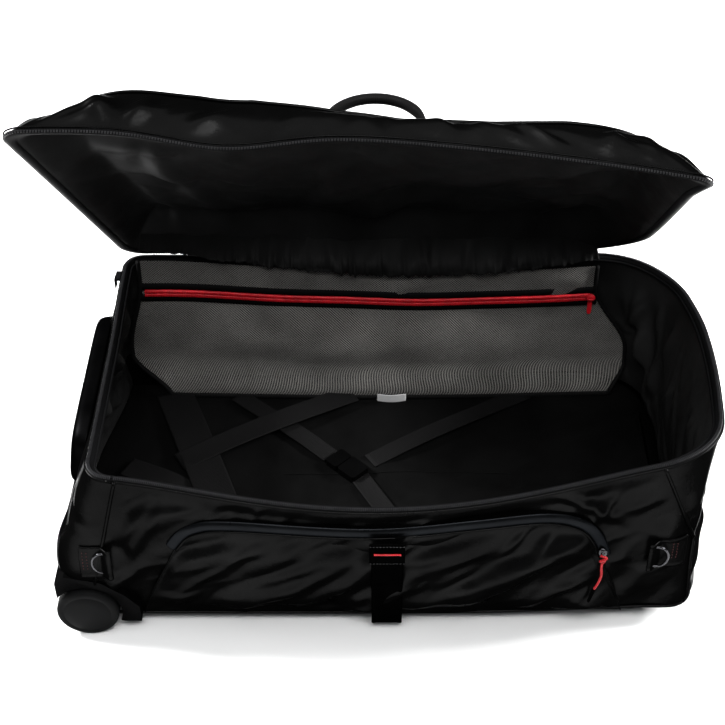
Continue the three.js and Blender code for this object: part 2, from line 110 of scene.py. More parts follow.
def crumple(a, b, seed, count, length, width, height, angle=0, spread=180):
    """Many small folds in random places, mostly at one angle."""
    rng = np.random.RandomState(seed)
    total = np.zeros(np.shape(a))
    for _ in range(count):
        at = (rng.uniform(np.min(a), np.max(a)), rng.uniform(np.min(b), np.max(b)))
        turn = angle + rng.uniform(-spread, spread) / 2
        size = rng.uniform(0.5, 1.3)
        rise = height * size * rng.choice((-0.6, 1.0))
        total += fold(a, b, at, turn, length * size, width * size, rise)
    return total


# ---------- meshes ----------
def joint_at(name):
    return Vector(JOINTS[name]["pos_m"])


def new_object(name, data):
    piece = bpy.data.objects.new(name, data)
    bpy.context.scene.collection.objects.link(piece)
    return piece


def mesh_piece(name, vertices, faces, material, smooth_shading=True, uv=None):
    data = bpy.data.meshes.new(name)
    data.from_pydata([tuple(map(float, v)) for v in vertices], [], faces)
    data.polygons.foreach_set("use_smooth", [smooth_shading] * len(data.polygons))
    data.materials.append(material)
    if uv is not None:
        layer = data.uv_layers.new(name="cloth")
        corner = np.array([loop.vertex_index for loop in data.loops])
        layer.data.foreach_set("uv", np.asarray(uv, float)[corner].ravel())
    data.update()
    return new_object(name, data)


def grid_faces(rows, cols, wrap=False):
    """The quads of a grid of points; a wrapped grid closes from its last column to its first."""
    last = cols if wrap else cols - 1
    return [
        (r * cols + c, r * cols + (c + 1) % cols, (r + 1) * cols + (c + 1) % cols, (r + 1) * cols + c)
        for r in range(rows - 1)
        for c in range(last)
    ]


def capped_faces(rows, cols):
    """The faces of a tube of rings, with a cap on each end."""
    last = (rows - 1) * cols
    caps = [tuple(range(cols))[::-1], tuple(last + c for c in range(cols))]
    return grid_faces(rows, cols, wrap=True) + caps


def measure(points):
    """Metric coordinates of a grid along its columns and its rows, for a weave."""
    across = np.linalg.norm(np.diff(points, axis=1), axis=-1).cumsum(axis=1)
    up = np.linalg.norm(np.diff(points, axis=0), axis=-1).cumsum(axis=0)
    u = np.concatenate([np.zeros((len(points), 1)), across], axis=1)
    v = np.concatenate([np.zeros((1, points.shape[1])), up], axis=0)
    return u, v


def cloth_piece(name, points, material, thickness=CLOTH, wrap=False, detail=1, offset=-1):
    """A sheet through a grid of points, rows by columns, with a thickness and a smooth surface."""
    rows, cols = points.shape[:2]
    u, v = measure(points)
    uv = np.stack([u.ravel(), v.ravel()], axis=1)
    piece = mesh_piece(name, points.reshape(-1, 3), grid_faces(rows, cols, wrap), material, uv=uv)
    if thickness:
        shell = piece.modifiers.new("thickness", "SOLIDIFY")
        shell.thickness = thickness
        shell.offset = offset
    if detail:
        piece.modifiers.new("smooth", "SUBSURF").levels = detail
        piece.modifiers["smooth"].render_levels = detail
    return piece


def grid_normals(points):
    du = np.gradient(points, axis=1)
    dv = np.gradient(points, axis=0)
    return unit(np.cross(du, dv))


def run_along(line):
    """How far along a line each of its points is."""
    return np.concatenate([[0], np.linalg.norm(np.diff(line, axis=0), axis=1).cumsum()])


def spline(points, count, closed=False):
    """Points evenly spaced on a smooth curve through the given ones."""
    points = np.asarray(points, float)
    if closed:
        points = np.concatenate([points[-1:], points, points[:2]])
    else:
        points = np.concatenate([2 * points[:1] - points[1:2], points, 2 * points[-1:] - points[-2:-1]])
    fine = []
    for i in range(1, len(points) - 2):
        p0, p1, p2, p3 = points[i - 1 : i + 3]
        t = np.linspace(0, 1, 16, endpoint=False)[:, None]
        curve = 2 * p1 + (p2 - p0) * t + (2 * p0 - 5 * p1 + 4 * p2 - p3) * t**2
        fine.append((curve + (3 * p1 - p0 - 3 * p2 + p3) * t**3) / 2)
    fine = np.concatenate([*fine, points[-2:-1]])
    return spaced(fine, count)


def path_length(line):
    return float(np.linalg.norm(np.diff(line, axis=0), axis=1).sum())


def spaced(line, count):
    length = run_along(line)
    at = np.linspace(0, length[-1], count)
    return np.stack([np.interp(at, length, line[:, k]) for k in range(line.shape[1])], axis=1)


def frames(line, up, closed=False):
    """Tangent, side and up directions along a line."""
    if closed:
        tangent = unit(np.roll(line, -1, axis=0) - np.roll(line, 1, axis=0))
    else:
        tangent = unit(np.gradient(line, axis=0))
    side = unit(np.cross(tangent, np.broadcast_to(up, line.shape)))
    return tangent, side, np.cross(side, tangent)


def sweep(name, line, section, material, up=(0, 0, 1), closed=False):
    """A closed section, (across, up) points, carried along a line; open lines get end caps."""
    line = np.asarray(line, float)
    _, side, rise = frames(line, up, closed)
    section = np.asarray(section, float)
    points = line[:, None] + side[:, None] * section[None, :, :1] + rise[:, None] * section[None, :, 1:]
    rows, cols = points.shape[:2]
    if closed:
        last = (rows - 1) * cols
        faces = grid_faces(rows, cols, wrap=True)
        faces += [((c + 1) % cols, last + (c + 1) % cols, last + c, c) for c in range(cols)]
    else:
        faces = capped_faces(rows, cols)
    faces = [f[::-1] for f in faces]
    uv = np.stack(np.meshgrid(run_along(section), run_along(line)), axis=-1).reshape(-1, 2)
    return mesh_piece(name, points.reshape(-1, 3), faces, material, uv=uv)


def ring(radius, sides=10, squash=1.0):
    turn = np.linspace(0, 2 * math.pi, sides, endpoint=False)
    return np.stack([radius * np.cos(turn), radius * squash * np.sin(turn)], axis=1)


def band(width, thickness, edge=0.25):
    """A flat webbing section with thick selvedges; edge is how much thicker they are."""
    w, t = width / 2, thickness / 2
    high = t * (1 + edge)
    section = [(-w, -t * 0.6), (-w, t * 0.6), (-w * 0.97, high), (-w * 0.88, high), (-w * 0.82, t)]
    section += [(0, t), (w * 0.82, t), (w * 0.88, high), (w * 0.97, high)]
    section += [(w, t * 0.6), (w, -t * 0.6), (w * 0.9, -t), (-w * 0.9, -t)]
    return section[::-1]


def beads(name, line, up, pitch, size, material, lean=0.0):
    """Zip teeth or stitches: one small tapered block at each pitch along a line."""
    points = spaced(line, max(int(path_length(line) / pitch), 2))
    tangent, side, rise = frames(points, up)
    corners = [(x, y, -0.5) for x, y in ((-0.5, -0.5), (0.5, -0.5), (0.5, 0.5), (-0.5, 0.5))]
    corners += [(x, y, 0.5) for x, y in ((-0.35, -0.35), (0.35, -0.35), (0.35, 0.35), (-0.35, 0.35))]
    corners = np.array(corners) * size
    block = [(0, 3, 2, 1), (4, 5, 6, 7), (0, 1, 5, 4), (1, 2, 6, 5), (2, 3, 7, 6), (3, 0, 4, 7)]
    tilted = tangent + side * lean
    vertices = (
        points[:, None]
        + side[:, None] * corners[None, :, :1]
        + tilted[:, None] * corners[None, :, 1:2]
        + rise[:, None] * corners[None, :, 2:]
    ).reshape(-1, 3)
    faces = [tuple(8 * i + k for k in face) for i in range(len(points)) for face in block]
    return mesh_piece(name, vertices, faces, material, smooth_shading=False)


def tube(name, line, radius, material, closed=False, sides=10, squash=1.0, up=(0.02, 0.03, 1)):
    return sweep(name, line, ring(radius, sides, squash), material, up=up, closed=closed)


def joined(name, pieces):
    """Several mesh pieces as one object that keeps each one's material."""
    bpy.ops.object.select_all(action="DESELECT")
    for piece in pieces:
        bpy.context.view_layer.objects.active = piece
        piece.select_set(True)
        for modifier in list(piece.modifiers):
            bpy.ops.object.modifier_apply(modifier=modifier.name)
    bpy.context.view_layer.objects.active = pieces[0]
    bpy.ops.object.join()
    pieces[0].name = name
    return pieces[0]


def finish_piece(piece, body="base", replaces=()):
    """Gives a piece the body it rides, and hides the CAD nodes that it stands for."""
    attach(piece, body)
    if replaces:
        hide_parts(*replaces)
    return piece


# ---------- materials ----------
class Paint:
    """A node material that is built up step by step around one Principled shader."""

    def __init__(self, name, color, roughness, specular=0.5, metallic=0.0, edge=None):
        self.material = bpy.data.materials.new(name)
        self.material.use_nodes = True
        self.tree = self.material.node_tree
        self.shader = self.tree.nodes["Principled BSDF"]
        self.shader.inputs["Base Color"].default_value = (*color, 1)
        self.shader.inputs["Roughness"].default_value = roughness
        self.shader.inputs["Specular IOR Level"].default_value = specular
        self.shader.inputs["Metallic"].default_value = metallic
        if edge is not None:
            self.shader.inputs["Specular Tint"].default_value = (edge, edge, edge, 1)
        self.color, self.roughness, self.normal = color, roughness, None

    def node(self, kind, **values):
        made = self.tree.nodes.new(kind)
        for key, value in values.items():
            if key in made.inputs:
                made.inputs[key].default_value = value
            else:
                setattr(made, key, value)
        return made

    def link(self, source, target):
        self.tree.links.new(source, target)

    def place(self, stretch=(1, 1, 1), uv=False):
        """Object or cloth coordinates, stretched along the axes."""
        source = self.node("ShaderNodeTexCoord").outputs["UV" if uv else "Object"]
        scale = self.node("ShaderNodeVectorMath", operation="MULTIPLY")
        scale.inputs[1].default_value = stretch
        self.link(source, scale.inputs[0])
        return scale.outputs[0]

    def noise(self, scale, detail=3.0, stretch=(1, 1, 1)):
        texture = self.node("ShaderNodeTexNoise", Scale=scale, Detail=detail)
        self.link(self.place(stretch), texture.inputs["Vector"])
        return texture.outputs["Fac"]

    def wave(self, per_metre, along):
        """Evenly spaced stripes across the cloth or along it, so many in a metre."""
        texture = self.node("ShaderNodeTexWave", wave_type="BANDS", bands_direction=along)
        texture.inputs["Scale"].default_value = per_metre * math.pi / 10
        self.link(self.place(uv=True), texture.inputs["Vector"])
        return texture.outputs["Fac"]

    def mix(self, a, b, operation="MULTIPLY"):
        made = self.node("ShaderNodeMath", operation=operation)
        for socket, value in zip(made.inputs, (a, b)):
            if isinstance(value, (int, float)):
                socket.default_value = value
            else:
                self.link(value, socket)
        return made.outputs[0]

    def bumped(self, height, strength, distance):
        made = self.node("ShaderNodeBump", Strength=strength, Distance=distance)
        self.link(height, made.inputs["Height"])
        if self.normal:
            self.link(self.normal, made.inputs["Normal"])
        self.normal = made.outputs["Normal"]
        self.link(self.normal, self.shader.inputs["Normal"])
        return self

    def ranged(self, fac, low, high):
        made = self.node("ShaderNodeMapRange")
        made.inputs["From Min"].default_value = 0.3
        made.inputs["From Max"].default_value = 0.7
        made.inputs["To Min"].default_value = low
        made.inputs["To Max"].default_value = high
        self.link(fac, made.inputs["Value"])
        return made.outputs[0]

    def varied(self, fac, darker, lighter):
        """The colour goes from darker to lighter times itself with fac."""
        ramp = self.node("ShaderNodeValToRGB")
        for element, share, at in zip(ramp.color_ramp.elements, (darker, lighter), (0.3, 0.7)):
            element.position = at
            element.color = (*(share * c for c in self.color), 1)
        self.link(fac, ramp.inputs["Fac"])
        self.link(ramp.outputs["Color"], self.shader.inputs["Base Color"])
        return self

    def rough(self, fac, low, high):
        self.link(self.ranged(fac, low, high), self.shader.inputs["Roughness"])
        return self

    def worn(self, color, amount):
        """Rubbed edges: the outward edges of the mesh take a paler colour."""
        edge = self.node("ShaderNodeNewGeometry").outputs["Pointiness"]
        mask = self.node("ShaderNodeMapRange")
        mask.inputs["From Min"].default_value = 0.51
        mask.inputs["From Max"].default_value = 0.60
        mask.inputs["To Max"].default_value = amount
        self.link(edge, mask.inputs["Value"])
        blend = self.node("ShaderNodeMix", data_type="RGBA")
        base = self.shader.inputs["Base Color"]
        if base.links:
            self.link(base.links[0].from_socket, blend.inputs["A"])
        else:
            blend.inputs["A"].default_value = (*self.color, 1)
        blend.inputs["B"].default_value = (*color, 1)
        self.link(mask.outputs[0], blend.inputs["Factor"])
        self.link(blend.outputs["Result"], base)
        return self


# A dark coating that mirrors its lights faintly, and no more at a glancing angle than head on.
COATING = {"metallic": 0.85, "edge": 0.22}


def make_tarpaulin():
    paint = Paint("coated_cloth", (0.0053, 0.0053, 0.0053), 0.25, 0.0, **COATING)
    paint.varied(paint.noise(9), 0.75, 1.3)
    paint.rough(paint.noise(26, detail=5), 0.22, 0.35)
    paint.bumped(paint.noise(34, detail=4), 0.35, 0.0022)
    paint.bumped(paint.noise(150, detail=3, stretch=(1, 1, 0.6)), 0.25, 0.0006)
    weave = paint.mix(paint.wave(1150, "X"), paint.wave(1150, "Y"), "ADD")
    paint.bumped(weave, 0.10, 0.0001)
    return paint.material


# One nylon is made below at three tones, which are painted light and painted shade rather than three
# fabrics.
def make_lining(name, tone, specular):
    paint = Paint(name, (tone, tone, tone), 0.45, specular=specular)
    paint.varied(paint.noise(14), 0.7, 1.35)
    paint.rough(paint.noise(40, detail=4), 0.38, 0.54)
    paint.bumped(paint.noise(60, detail=5), 0.35, 0.0016)
    weave = paint.mix(paint.wave(1500, "X"), paint.wave(1500, "Y"), "ADD")
    paint.bumped(weave, 0.15, 0.0001)
    return paint.material


def make_webbing():
    paint = Paint("webbing_weave", (0.0055, 0.0054, 0.0055), 0.62, specular=0.03)
    ribs = paint.mix(paint.wave(430, "Y"), paint.wave(900, "X"), "MULTIPLY")
    paint.varied(ribs, 0.6, 1.6)
    paint.bumped(ribs, 0.6, 0.0005)
    paint.bumped(paint.noise(90), 0.2, 0.0006)
    return paint.material


MESH_CELL = 0.0037  # how wide one hole of the mesh pocket is, with its thread


def make_mesh_cloth():
    """Open diamond mesh: threads at both slants, and nothing between them."""
    paint = Paint("mesh_cloth", (0.200, 0.194, 0.184), 0.75, specular=0.1)
    coordinate = paint.node("ShaderNodeTexCoord")
    split = paint.node("ShaderNodeSeparateXYZ")
    paint.link(coordinate.outputs["UV"], split.inputs[0])
    x, y = split.outputs[0], paint.mix(split.outputs[1], 1.25)
    cells = math.pi / MESH_CELL
    threads = []
    for operation in ("ADD", "SUBTRACT"):
        slant = paint.mix(paint.mix(x, y, operation), cells)
        threads.append(paint.mix(paint.mix(slant, 0.0, "SINE"), 0.0, "ABSOLUTE"))
    hole = paint.mix(threads[0], threads[1])
    cover = paint.node("ShaderNodeMapRange")
    for key, value in {"From Min": 0.22, "From Max": 0.34, "To Min": 1.0, "To Max": 0.0}.items():
        cover.inputs[key].default_value = value
    paint.link(hole, cover.inputs["Value"])
    paint.link(cover.outputs[0], paint.shader.inputs["Alpha"])
    paint.varied(paint.noise(18, detail=4), 0.75, 1.2)
    paint.bumped(hole, 0.4, -0.0004)
    return paint.material


def make_zip_tape():
    paint = Paint("zip_tape_cloth", (0.0026, 0.0026, 0.0028), 0.60, specular=0.03)
    ribs = paint.wave(900, "Y")
    paint.varied(ribs, 0.7, 1.4)
    paint.bumped(ribs, 0.4, 0.0002)
    return paint.material


def make_coil(name, color, roughness, specular):
    paint = Paint(name, color, roughness, specular=specular)
    paint.varied(paint.noise(120), 0.75, 1.25)
    paint.bumped(paint.noise(700), 0.15, 0.0002)
    return paint.material


def make_sealed_tape():
    paint = Paint("sealed_zip_tape", (0.0068, 0.0073, 0.0081), 0.28, 0.0, **COATING)
    paint.varied(paint.noise(20), 0.85, 1.2)
    paint.rough(paint.noise(60), 0.26, 0.38)
    paint.bumped(paint.noise(260), 0.15, 0.0003)
    return paint.material


def make_plastic():
    paint = Paint("moulded_plastic", (0.0017, 0.0017, 0.0018), 0.34, 0.0, **COATING)
    paint.varied(paint.noise(30), 0.85, 1.2)
    paint.bumped(paint.noise(900, detail=2), 0.35, 0.0003)
    paint.rough(paint.noise(15), 0.36, 0.5)
    paint.worn((0.012, 0.012, 0.012), 0.25)
    return paint.material


def make_tyre():
    paint = Paint("tyre_rubber", (0.0042, 0.0043, 0.0044), 0.55, specular=0.02)
    paint.varied(paint.noise(40, detail=5), 0.85, 1.25)
    paint.rough(paint.noise(25), 0.48, 0.62)
    paint.bumped(paint.noise(500, detail=3), 0.3, 0.0003)
    paint.worn((0.03, 0.03, 0.03), 0.30)
    return paint.material


def make_soft_rubber():
    paint = Paint("rubberised_strap", (0.0010, 0.0010, 0.0010), 0.55, 0.0, **COATING)
    paint.varied(paint.noise(50), 0.8, 1.3)
    paint.bumped(paint.noise(650), 0.25, 0.0003)
    return paint.material


def make_steel():
    paint = Paint("nickel_steel", (0.040, 0.040, 0.043), 0.25, metallic=1.0)
    paint.varied(paint.noise(80), 0.8, 1.15)
    paint.rough(paint.noise(120, detail=5), 0.14, 0.3)
    paint.bumped(paint.noise(400), 0.08, 0.0002)
    return paint.material


def make_aluminium():
    paint = Paint("anodised_aluminium", (0.36, 0.37, 0.39), 0.32, metallic=1.0)
    paint.varied(paint.noise(60, stretch=(0.05, 1, 1)), 0.9, 1.1)
    paint.rough(paint.noise(500, stretch=(0.02, 1, 1)), 0.25, 0.4)
    return paint.material


def make_cord():
    paint = Paint("red_braid", (0.40, 0.007, 0.012), 0.6, specular=0.2)
    braid = paint.mix(paint.wave(500, "X"), paint.wave(420, "Y"))
    paint.varied(braid, 0.6, 1.3)
    paint.bumped(braid, 0.6, 0.0005)
    return paint.material


def make_label():
    paint = Paint("label_satin", (0.86, 0.86, 0.86), 0.6, specular=0.3)
    weave = paint.mix(paint.wave(1600, "X"), paint.wave(900, "Y"), "ADD")
    paint.varied(weave, 0.92, 1.03)
    paint.bumped(weave, 0.2, 0.0001)
    return paint.material


def make_floor():
    paint = Paint("studio_floor", (0.86, 0.86, 0.86), 0.7, specular=0.1)
    paint.varied(paint.noise(2), 0.99, 1.0)
    return paint.material


TARPAULIN = make_tarpaulin()
# One lining nylon in three tones. The walls' lighter tone is painted light, standing in for the little lamp
# light inside the bag. The lid's and the floor's darker tones are painted shade, set against the lamps that
# fall on them directly.
WALL_LINING_PAINTED_LIGHT = make_lining("lining_nylon", 0.0095, 0.085)
LID_LINING_PAINTED_SHADE = make_lining("lid_lining_nylon_painted_shade", 0.0062, 0.034)
FLOOR_LINING_PAINTED_SHADE = make_lining("floor_nylon_painted_shade", 0.0022, 0.025)
WEBBING = make_webbing()
MESH = make_mesh_cloth()
ZIP_TAPE = make_zip_tape()
ZIP_TEETH = make_coil("zip_teeth", (0.012, 0.012, 0.013), 0.35, 0.25)
LID_TEETH = make_coil("lid_zip_teeth", (0.018, 0.018, 0.019), 0.35, 0.25)
RED_COIL = make_coil("red_coil", (0.42, 0.006, 0.012), 0.38, 0.3)
RED_THREAD = make_coil("red_thread", (0.040, 0.003, 0.004), 0.6, 0.2)
SEALED = make_sealed_tape()
PLASTIC = make_plastic()
TYRE = make_tyre()
SOFT_RUBBER = make_soft_rubber()
STEEL = make_steel()
ALUMINIUM = make_aluminium()
RED_CORD = make_cord()
LABEL = make_label()


# ---------- outlines ----------
def rounded_outline(left, right, front, back, radii, corner_steps=14, side_steps=40):
    """A closed outline with a radius at each corner, anticlockwise from the front left corner."""
    corners = [
        (left + radii[0], front + radii[0], radii[0], math.pi),
        (right - radii[1], front + radii[1], radii[1], 1.5 * math.pi),
        (right - radii[2], back - radii[2], radii[2], 0.0),
        (left + radii[3], back - radii[3], radii[3], 0.5 * math.pi),
    ]
    arcs = []
    for x, y, radius, start in corners:
        turn = start + np.linspace(0, math.pi / 2, corner_steps)
        arcs.append(np.stack([x + radius * np.cos(turn), y + radius * np.sin(turn)], axis=1))
    parts = []
    for here, following in zip(arcs, arcs[1:] + arcs[:1]):
        share = np.linspace(0, 1, side_steps + 2)[1:-1, None]
        parts += [here, here[-1] * (1 - share) + following[0] * share]
    return np.concatenate(parts)


WALL_LOW = 0.0115  # the walls' lower edge
WALL_TALL = RIM_Z - WALL_LOW
SIDE_BULGE = 0.0075  # how far the long walls swell at half height
END_LEAN = 0.049  # how far the wheel end leans out at the bottom
END_UPRIGHT = 0.62  # how much less it leans at the rear
END_HOLLOW = 0.010  # how far the handle end draws in at half height
END_CURVE = 0.026  # radius of the bottom edge at the handle end
SEAMS = {"left": (-0.362, -0.304), "right": (0.412, 0.314)}  # x at the bottom and at the rim
SAG = 0.041  # how far the front rim drops at its middle
FRONT_BOW = 0.023  # how far it bows forward there
END_BOW = 0.015
EDGE_TUCK = 0.009  # radius of the walls' bottom edge
FRONT_CORNER = 0.030  # radius of the front left corner, where the front wall's surface turns in
BOTTOM_SEAM = 0.045  # the level of the seam along the bottom
WALL_ROWS = 66


def end_lean(level):
    """How far the wheel end stands out of the rim's plan at a level."""
    return END_LEAN * (1 - level**2.2)


def at_front(y):
    """1 at the front wall and 0 behind it, with a smooth step round its corners."""
    return smooth(y, -0.10, -0.185)


def plan_at(level):
    """The base's half width, left end, right end and front right corner radius at a level."""
    swell = np.sin(math.pi * level)
    half = RIM_HALF + SIDE_BULGE * swell
    left = RIM_LEFT - end_lean(level)
    right = RIM_RIGHT - 0.003 - 0.004 * (1 - level) ** 0.7 - END_HOLLOW * swell
    return half, left, right, FRONT_CORNER + 0.045 * level**2


def base_outline(level):
    """The base's plan at a level from 0 at the bottom to 1 at the rim."""
    half, left, right, corner = plan_at(level)
    radii = (RIM_RADII[0] - 0.006 * (1 - level), corner, RIM_RADII[2], RIM_RADII[3])
    return rounded_outline(left, right, -half, half, radii)


def seam_x(side, level):
    """An upright seam's x: it slants, and low down it keeps to the corner."""
    bottom, top = SEAMS[side]
    return min(bottom + (top - bottom) * level, plan_at(level)[2] - 0.010)


def stations(outline, level):
    """How far round the outline each of the four upright seams is, and the whole length."""
    loop = np.concatenate([outline, outline[:1]])
    lengths = np.concatenate([[0], np.linalg.norm(np.diff(loop, axis=0), axis=1).cumsum()])
    half = len(outline) // 2
    front, back = slice(0, half), slice(half, len(outline))
    at = {}
    for side in SEAMS:
        x = seam_x(side, level)
        at["front", side] = np.interp(x, outline[front, 0], lengths[front])
        at["back", side] = np.interp(-x, -outline[back, 0], lengths[back])
    return loop, lengths, at


def run_of(side, level, count):
    """Points of one wall between its seams at a level, with their outward directions."""
    loop, lengths, at = stations(base_outline(level), level)
    whole = lengths[-1]
    start, stop = {
        "front": (at["front", "left"], at["front", "right"]),
        "handle_end": (at["front", "right"], at["back", "right"]),
        "rear": (at["back", "right"], at["back", "left"]),
        "wheel_end": (at["back", "left"], at["front", "left"] + whole),
        "all": (at["front", "left"], at["front", "left"] + whole),
    }[side]
    stretch = np.linspace(start, stop, count) % whole

    def place(step):
        at = (stretch + step) % whole
        return np.stack([np.interp(at, lengths, loop[:, k]) for k in (0, 1)], axis=1)

    points = np.stack([np.interp(stretch, lengths, loop[:, k]) for k in (0, 1)], axis=1)
    tangent = unit(place(0.002) - place(-0.002))
    return points, np.stack([tangent[:, 1], -tangent[:, 0]], axis=1)


def rim_height(x, y):
    """The rim is low at the wheel end, high at the handle end and sags at the front."""
    tilt = 0.002 + 0.036 * x
    front = smooth(y, 0.16, 0.02)
    return RIM_Z + tilt * front - SAG * bump(x, 0.010, 0.33) * at_front(y)


def bow_out(x, y, level):
    """How far the wall stands out of its plan: at the rim's middle, and over the wheel housings."""
    front = FRONT_BOW * bump(x, 0.02, 0.34) * at_front(y) * level**1.4
    end = END_BOW * bump(y, -0.01, 0.19) * smooth(x, 0.30, 0.37) * level**3
    beside_wheel = smooth(x, -0.29, -0.35) * smooth(np.abs(y), 0.12, 0.19)
    return front + end + 0.008 * bump(level, 0.42, 0.22) * beside_wheel


def tucked(height, radius):
    """How far a wall has turned in at a height over its lower edge, round a radius."""
    t = np.clip(height / radius, 0, 1)
    return radius * (1 - np.sqrt(np.clip(1 - (1 - t) ** 2, 0, 1)))


def wall_low(x):
    """The lower edge rises a little towards the handle end."""
    return WALL_LOW + 0.008 * smooth(x, 0.10, 0.34)


def end_tuck(x, y, height):
    """The handle end turns in along its bottom edge, except beside the trolley's cup."""
    beside = smooth(np.abs(y), 0.112, 0.150) * smooth(x, 0.20, 0.34)
    return beside * tucked(height, END_CURVE) * (x - 0.20) / (RIM_RIGHT - 0.20)


def wall_point(points, outward, level, inset=0.0):
    """A wall's points at a level, from its plan and its outward directions there."""
    x, y = points[:, 0], points[:, 1]
    low = wall_low(x)
    z = low + level * (rim_height(x, y) - low)
    shift = bow_out(x, y, level) - tucked(z - low, EDGE_TUCK) - inset
    upright = end_lean(level) * END_UPRIGHT * smooth(y, 0.0, 0.19) * smooth(x, -0.25, -0.33)
    along = x + outward[:, 0] * shift - end_tuck(x, y, z - low) + upright
    return np.stack([along, y + outward[:, 1] * shift, z], axis=1)


def wheel_end_x(y, z):
    """Where the wheel end's wall is at y and z."""
    level = (z - WALL_LOW) / (rim_height(RIM_LEFT, y) - WALL_LOW)
    return RIM_LEFT - end_lean(level) * (1 - END_UPRIGHT * smooth(y, 0.0, 0.19))


def wall_grid(side, cols, rows, low=0.0, high=1.0, inset=0.0):
    """Points of a wall between two levels, row by row from the lower one."""
    levels = low + (high - low) * np.linspace(0, 1, rows) ** 1.25
    grid = []
    for level in levels:
        points, outward = run_of(side, level, cols)
        grid.append(wall_point(points, outward, level, inset))
    return np.array(grid)


def rim_line(count, inset=0.0, lift=0.0):
    """A closed line round the rim, inside it by inset and over it by lift."""
    points, outward = run_of("all", 1.0, count + 1)
    line = wall_point(points, outward, 1.0, inset)[:-1]
    line[:, 2] += lift
    return line


# ---------- the base's cloth ----------
FRONT_FOLDS = (  # place (x, z), angle, length, width, height
    ((-0.300, 0.130), 62, 0.10, 0.010, 0.0050),
    ((-0.285, 0.190), 55, 0.06, 0.009, 0.0040),
    ((-0.318, 0.085), 40, 0.08, 0.012, 0.0045),
    ((-0.140, 0.215), 60, 0.03, 0.007, 0.0045),
    ((0.215, 0.225), -32, 0.09, 0.010, 0.0060),
    ((0.250, 0.205), 64, 0.04, 0.008, 0.0045),
    ((0.300, 0.090), 70, 0.09, 0.014, 0.0040),
    ((0.330, 0.150), 78, 0.10, 0.016, 0.0035),
)


def front_folds(x, z):
    """Slanting folds that run from the pocket's ends to the bottom, and short ones under the rim."""
    total = crumple(x, z, 3, 60, 0.055, 0.010, 0.0024, angle=38, spread=60)
    total += crumple(x, z, 4, 30, 0.10, 0.022, 0.0036, angle=30, spread=40)
    total += crumple(x, z, 5, 130, 0.035, 0.0055, 0.0011, angle=40, spread=70)
    total = add_folds(total, x, z, FRONT_FOLDS)
    for ring in ("left_ring_swing", "right_ring_swing"):  # flat cloth under each ring
        at = joint_at(ring)
        total = total * smooth(np.hypot(x - at.x, z - at.z), 0.018, 0.036)
    overhang = rim_height(x, np.full(x.shape, -RIM_HALF)) - z
    return total - 0.007 * bump(overhang, 0.020, 0.018) * bump(x, 0.02, 0.33)


def pin_edges(grid_shape, margin=0.10):
    """0 at a grid's border and 1 inside, to hold its seams in place."""
    v = np.linspace(0, 1, grid_shape[0])[:, None]
    u = np.linspace(0, 1, grid_shape[1])[None]
    edge = np.minimum(np.minimum(u, 1 - u) * 2.2, np.minimum(v, 1 - v))
    return smooth(edge, 0, margin)


CUP_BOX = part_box("trolley_cup")
HOUSING_PROFILE = (  # x and z round a wheel housing, seen from the front
    (-0.395, 0.0),
    (-0.395, 0.086),
    (-0.380, 0.095),
    (-0.339, 0.085),
    (-0.312, 0.062),
    (-0.297, 0.040),
    (-0.297, 0.0),
)
HOUSING_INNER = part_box("rear_wheel_housing")[0].y


def in_hard_part(x, y, z):
    """Whether a point of the cloth is where the trolley's cup or a wheel housing comes through it."""
    cup = x > 0.30 and abs(y) < CUP_BOX[1].y and z < CUP_BOX[1].z
    return cup or (abs(y) > HOUSING_INNER and inside_polygon(HOUSING_PROFILE, x, z))


def inside_polygon(corners, x, z):
    inside = False
    for (x0, z0), (x1, z1) in zip(corners, corners[1:] + corners[:1]):
        if (z0 > z) != (z1 > z) and x < x0 + (z - z0) / (z1 - z0) * (x1 - x0):
            inside = not inside
    return inside


def open_up(piece, is_open):
    """Takes away the faces of a cloth whose middle is_open says are not there."""
    data = piece.data
    gone = {f.index for f in data.polygons if is_open(*f.center)}
    mesh = bmesh.new()
    mesh.from_mesh(data)
    bmesh.ops.delete(mesh, geom=[f for f in mesh.faces if f.index in gone], context="FACES")
    mesh.to_mesh(data)
    mesh.free()


WALLS = {  # each wall's columns, flat size and the height of its folds at x, y and z
    "front": (190, (0.72, 0.26), lambda x, y, z: front_folds(x, z)),
    "rear": (150, (0.72, 0.25), lambda x, y, z: crumple(x, z, 11, 80, 0.08, 0.014, 0.0036, 50, 90)),
    "handle_end": (110, (0.42, 0.24), lambda x, y, z: crumple(y, z, 12, 70, 0.07, 0.012, 0.0050, 60, 60)),
    "wheel_end": (110, (0.44, 0.25), lambda x, y, z: crumple(y, z, 13, 50, 0.07, 0.012, 0.0040, 70, 70)),
}


def make_walls():
    for side, (columns, flat, folds) in WALLS.items():
        grid = wall_grid(side, columns, WALL_ROWS)
        relief = folds(*np.moveaxis(grid, -1, 0)) * pin_edges(grid.shape)
        grid += grid_normals(grid) * relief[..., None]
        piece = cloth_piece(side + "_cloth", grid, TARPAULIN)
        open_up(piece, in_hard_part)
        finish_piece(piece, replaces=[side + "_panel"])


def make_base_piping():
    """The piping in the four upright seams and in the seam along the bottom."""
    levels = np.linspace(0.04, 1.0, 40)
    seams = []
    for side, end in (("front", 0), ("front", -1), ("rear", 0), ("rear", -1)):
        line = []
        for level in levels:
            points, outward = run_of(side, level, 60)
            line.append(wall_point(points, outward, level, -PIPING * 0.5)[end])
        seams.append(tube("seam", np.array(line), PIPING, TARPAULIN, up=(0.3, 0.9, 0.1)))
    for side in WALLS:
        points, outward = run_of(side, BOTTOM_SEAM, 120)
        line = wall_point(points, outward, BOTTOM_SEAM, -PIPING * 0.4)
        parts = [line]
        if side == "handle_end":  # the cup interrupts this seam
            parts = [line[line[:, 1] < CUP_BOX[0].y - 0.002], line[line[:, 1] > CUP_BOX[1].y + 0.002]]
        seams += [tube("seam", part, PIPING, TARPAULIN) for part in parts]
    finish_piece(joined("base_piping", seams))


